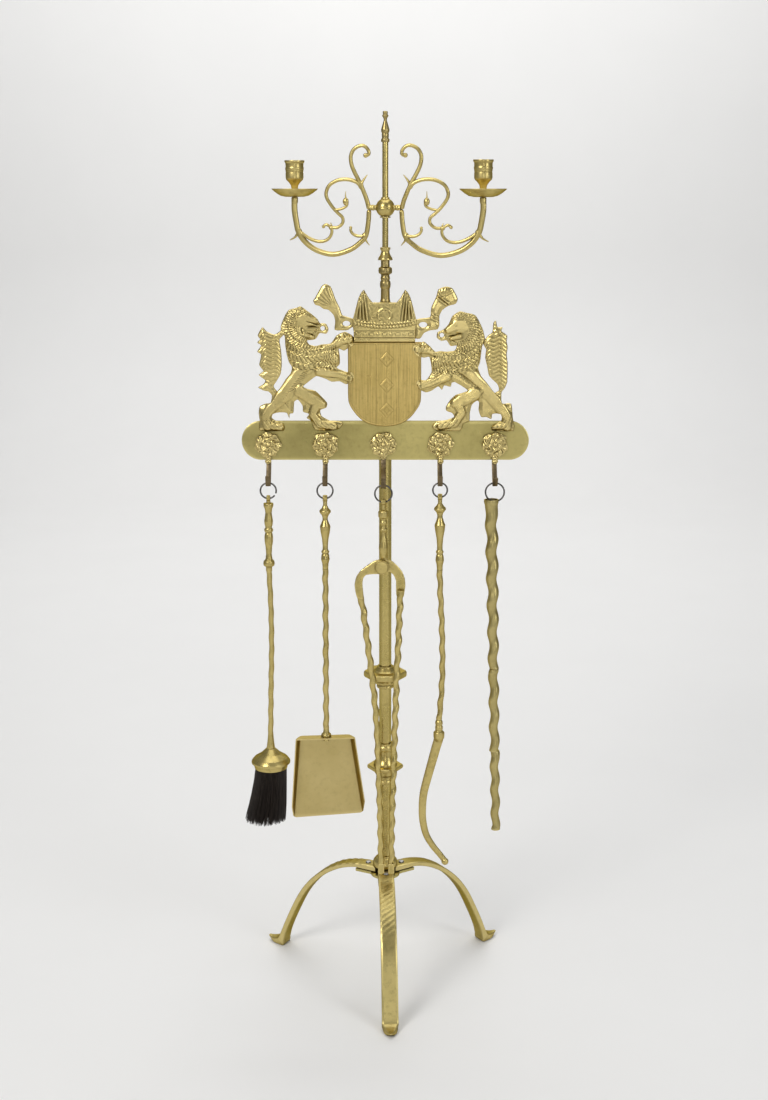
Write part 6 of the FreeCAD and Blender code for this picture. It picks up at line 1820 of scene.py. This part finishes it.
def union_outline(shoulder, sign):
    """Shoulder joined to the round eye about the pivot."""
    n = 26
    out = []
    pts = list(shoulder)
    eye_ = []
    # arc of the eye that sticks out on the far side from the shoulder
    a0, a1 = (math.radians(-72), math.radians(72)) if sign < 0 else (math.radians(108), math.radians(252))
    for i in range(n + 1):
        a = a0 + (a1 - a0) * i / n
        eye_.append((PX + 9.98 * math.cos(a), ZP + 9.98 * math.sin(a)))
    body = [p for p in pts[2:]]
    if sign < 0:
        return eye_ + body
    return eye_[::-1] + body


def tong_skin(path, shoulder, yf, sign, seed):
    out = smooth_closed(union_outline(shoulder, sign), 2)
    m = Mesh().add(*relief(out, yf + 4.3, flat(4.3, 0.8), 1.2, holes=[circle(PX, ZP, 2.56, 24)]))
    P3 = [(a, y, b) for a, b in path]
    m.add(*twisted_bar(P3, 4.7, 4.3, 49.0, lobes=2, depth=0.12, n=24, step=1.2, wave=0.85, wpitch=24.5, phase=seed, fade=16.0))
    zt, xt = path[-1][1], path[-1][0]
    lim = 1.1
    tip = [(xt - 4.4, zt + 16), (xt + 4.4, zt + 16), (xt + 4.4, zt + 2), (xt + 2.4, zt), (xt - 2.4, zt), (xt - 4.4, zt + 2)]
    tip = [(min(a, 1.15) if sign < 0 else max(a, 1.65), b) for a, b in tip]
    v, f = relief(tip, y + 4.9, flat(9.8, 0.8), 0.9)
    m.add(v, f)
    if sign < 0:
        m.v = [(min(a, 1.15) if c < 560 else a, b, c) for a, b, c in m.v]
    else:
        m.v = [(max(a, 1.65) if c < 560 else a, b, c) for a, b, c in m.v]
    return m


build("tongs_arm_left_skin", tong_skin(TL, SHL, y - 6.1, -1, 0.3), "brass", "tongs_left", ["tongs_arm_left"], angle=50, fix=False)
build("tongs_arm_right_skin", tong_skin(TR, SHR, y + 1.8, 1, 1.7), "brass", "tongs_right", ["tongs_arm_right"], angle=50, fix=False)

# ------------------------------------------------------------------ poker
x, y = SLOT_X["poker"], SLOT_Y["poker"]
me = eye_mesh("poker", 4.7, 3.2, 711.0)
me.add(*revolve([(0, 615.0), (4.0, 615.0), (4.4, 622.0), (6.1, 629.0), (5.2, 636.0), (4.2, 638.0), (5.4, 640.0), (5.4, 642.0), (4.0, 644.0), (3.9, 650.0),
         (4.8, 661.0), (6.8, 672.0), (7.7, 680.0), (5.6, 685.0), (3.9, 690.5), (3.7, 694.0), (5.0, 698.0), (8.4, 702.0), (8.4, 704.2), (5.0, 708.0),
         (3.4, 711.0), (0, 711.0)], x, y, 72, 0.8))
build("poker_handle_skin", me, "brass", "poker", ["poker_handle"], angle=45, fix=False)
me = Mesh().add(*revolve([(0, 362.0), (4.6, 362.0), (7.8, 368.0), (8.0, 375.5), (5.0, 378.5), (5.6, 381.0), (5.6, 384.0), (4.6, 386.0), (5.4, 388.0), (5.4, 391.5),
         (4.0, 394.0), (4.0, 397.0), (0, 397.0)], x, y, 72, 0.8))
me.add(*twisted_bar([(x, y, 395.5), (x + 3.0, y, 430.0), (x + 4.6, y, 470.0), (x + 3.6, y, 530.0), (x + 1.2, y, 580.0), (x, y, 615)], 4.25, 4.25, 54.0, lobes=2, depth=0.12, wave=0.65, wpitch=27.0, phase=2.2))
BL = [(77.6, 368.0), (73.0, 351.9), (67.0, 329.3), (60.8, 306.0), (55.4, 282.6), (53.8, 259.9), (54.9, 240.1), (59.8, 220.5), (69.2, 204.0), (80.2, 190.0),
      (86.4, 181.6)]


def oval(s, L):
    t = s / L
    w_ = (13.6 + (8.4 - 13.6) * t) / 2
    a = np.arange(24) * 2 * math.pi / 24
    c, s_ = np.cos(a), np.sin(a)
    return np.c_[2.58 * np.sign(c) * np.abs(c) ** 1.5, w_ * np.sign(s_) * np.abs(s_) ** 0.85]


me.add(*sweep(dense(catmull([(a, y, b) for a, b in BL], 6), 2.2), oval))
v, f = revolve([(0, -1)] + [(math.cos(math.radians(a)), math.sin(math.radians(a))) for a in range(-80, 90, 10)] + [(0, 1)], 0, 0, 32, 0)
me.add([(87.0 + 5.15 * a, y + 4.6 * b, 180.2 + 5.15 * c) for a, b, c in v], f)
build("poker_shaft_skin", me, "brass", "poker", ["poker_shaft"], angle=50, fix=False)

# ------------------------------------------------------------------ blow pipe
x, y = SLOT_X["pipe"], SLOT_Y["pipe"]
PTX, PBX, PZT, PZB = 149.6, 160.2, 716.6, 229.5
LEAN = math.atan((PBX - PTX) / (PZT - PZB))


def spiral_tube(outer, inner, amp, pitch, ph, ztop=1e9, zlow=-1e9):
    """Tube that winds like a corkscrew inside the straight tube given by the (r, z) lists."""
    def interp(tab, z):
        tab = sorted((b, a) for a, b in tab)
        return float(np.interp(z, [t[0] for t in tab], [t[1] for t in tab]))
    z0 = min(b for a, b in outer)
    z1 = max(b for a, b in outer)
    n = 64
    zs = list(np.arange(z0, z1, 1.6)) + [z1]
    v, rows = [], []

    def off(z):
        e = min(1.0, max(0.0, (ztop - z) / 26.0)) * min(1.0, max(0.15, (z - zlow) / 6.0))
        a = 2 * math.pi * z / pitch + ph
        return amp * e * math.cos(a), amp * e * math.sin(a), e
    for z in zs:
        ox, oy, e = off(z)
        R = interp(outer, z) - 0.55 * amp * e
        row = []
        for j in range(n):
            a = 2 * math.pi * j / n
            q = 1 - 0.05 * e * (0.5 + 0.5 * math.cos(a - 2 * math.pi * z / pitch - ph + math.pi))
            row.append(len(v))
            v.append((ox + R * q * math.cos(a), oy + R * q * math.sin(a), z))
        rows.append(row)
    zi = [z1, z1 - 0.3, z1 - 4] + list(np.arange(z1 - 10, z0 + 1, -6.0)) + [z0]
    for z in zi:
        ox, oy, e = off(z)
        R = interp(inner, z) - amp * e
        row = []
        for j in range(n):
            a = 2 * math.pi * j / n
            row.append(len(v))
            v.append((ox + R * math.cos(a), oy + R * math.sin(a), z))
        rows.append(row)
    f = []
    m = len(rows)
    for i in range(m):
        A, B = rows[i], rows[(i + 1) % m]
        for j in range(n):
            k = (j + 1) % n
            f.append((A[j], A[k], B[k], B[j]))
    return v, f


def lean(vf):
    v = np.asarray(vf[0], float)
    c, s = math.cos(-LEAN), math.sin(-LEAN)
    z = v[:, 2] - PZT
    xx = v[:, 0]
    out = np.c_[PTX + c * xx + s * z, y + v[:, 1], PZT - s * xx + c * z]
    return out, vf[1]


up_o = [(10.2, 716.6), (10.4, 715.0), (10.3, 712.4), (9.2, 709.0), (8.9, 640.0), (8.2, 560.0), (7.6, 470.0)]
up_i = [(8.7, 716.6), (8.7, 709.5), (7.2, 704.0), (6.9, 640.0), (6.2, 560.0), (5.6, 470.0)]
build("pipe_upper_skin", Mesh().add(*lean(spiral_tube(up_o, up_i, 1.45, 39.0, 0.4, ztop=708.0))), "pipe", "pipe", ["pipe_upper"], angle=50, fix=False)
build("pipe_middle_skin", Mesh().add(*lean(spiral_tube([(7.6, 469.9), (8.0, 466.0), (7.5, 462.0), (7.2, 348.0)], [(5.6, 469.9), (5.0, 440.0), (4.9, 348.0)], 1.35, 37.0, 0.9))), "pipe", "pipe", ["pipe_middle"], angle=50, fix=False)
build("pipe_lower_skin", Mesh().add(*lean(spiral_tube([(7.2, 347.9), (7.5, 344.0), (7.0, 340.0), (6.6, 240.0), (6.5, 229.5)], [(4.9, 347.9), (4.5, 320.0), (4.4, 229.5)], 1.2, 35.0, 1.6, zlow=229.5))), "pipe", "pipe", ["pipe_lower"], angle=50, fix=False)
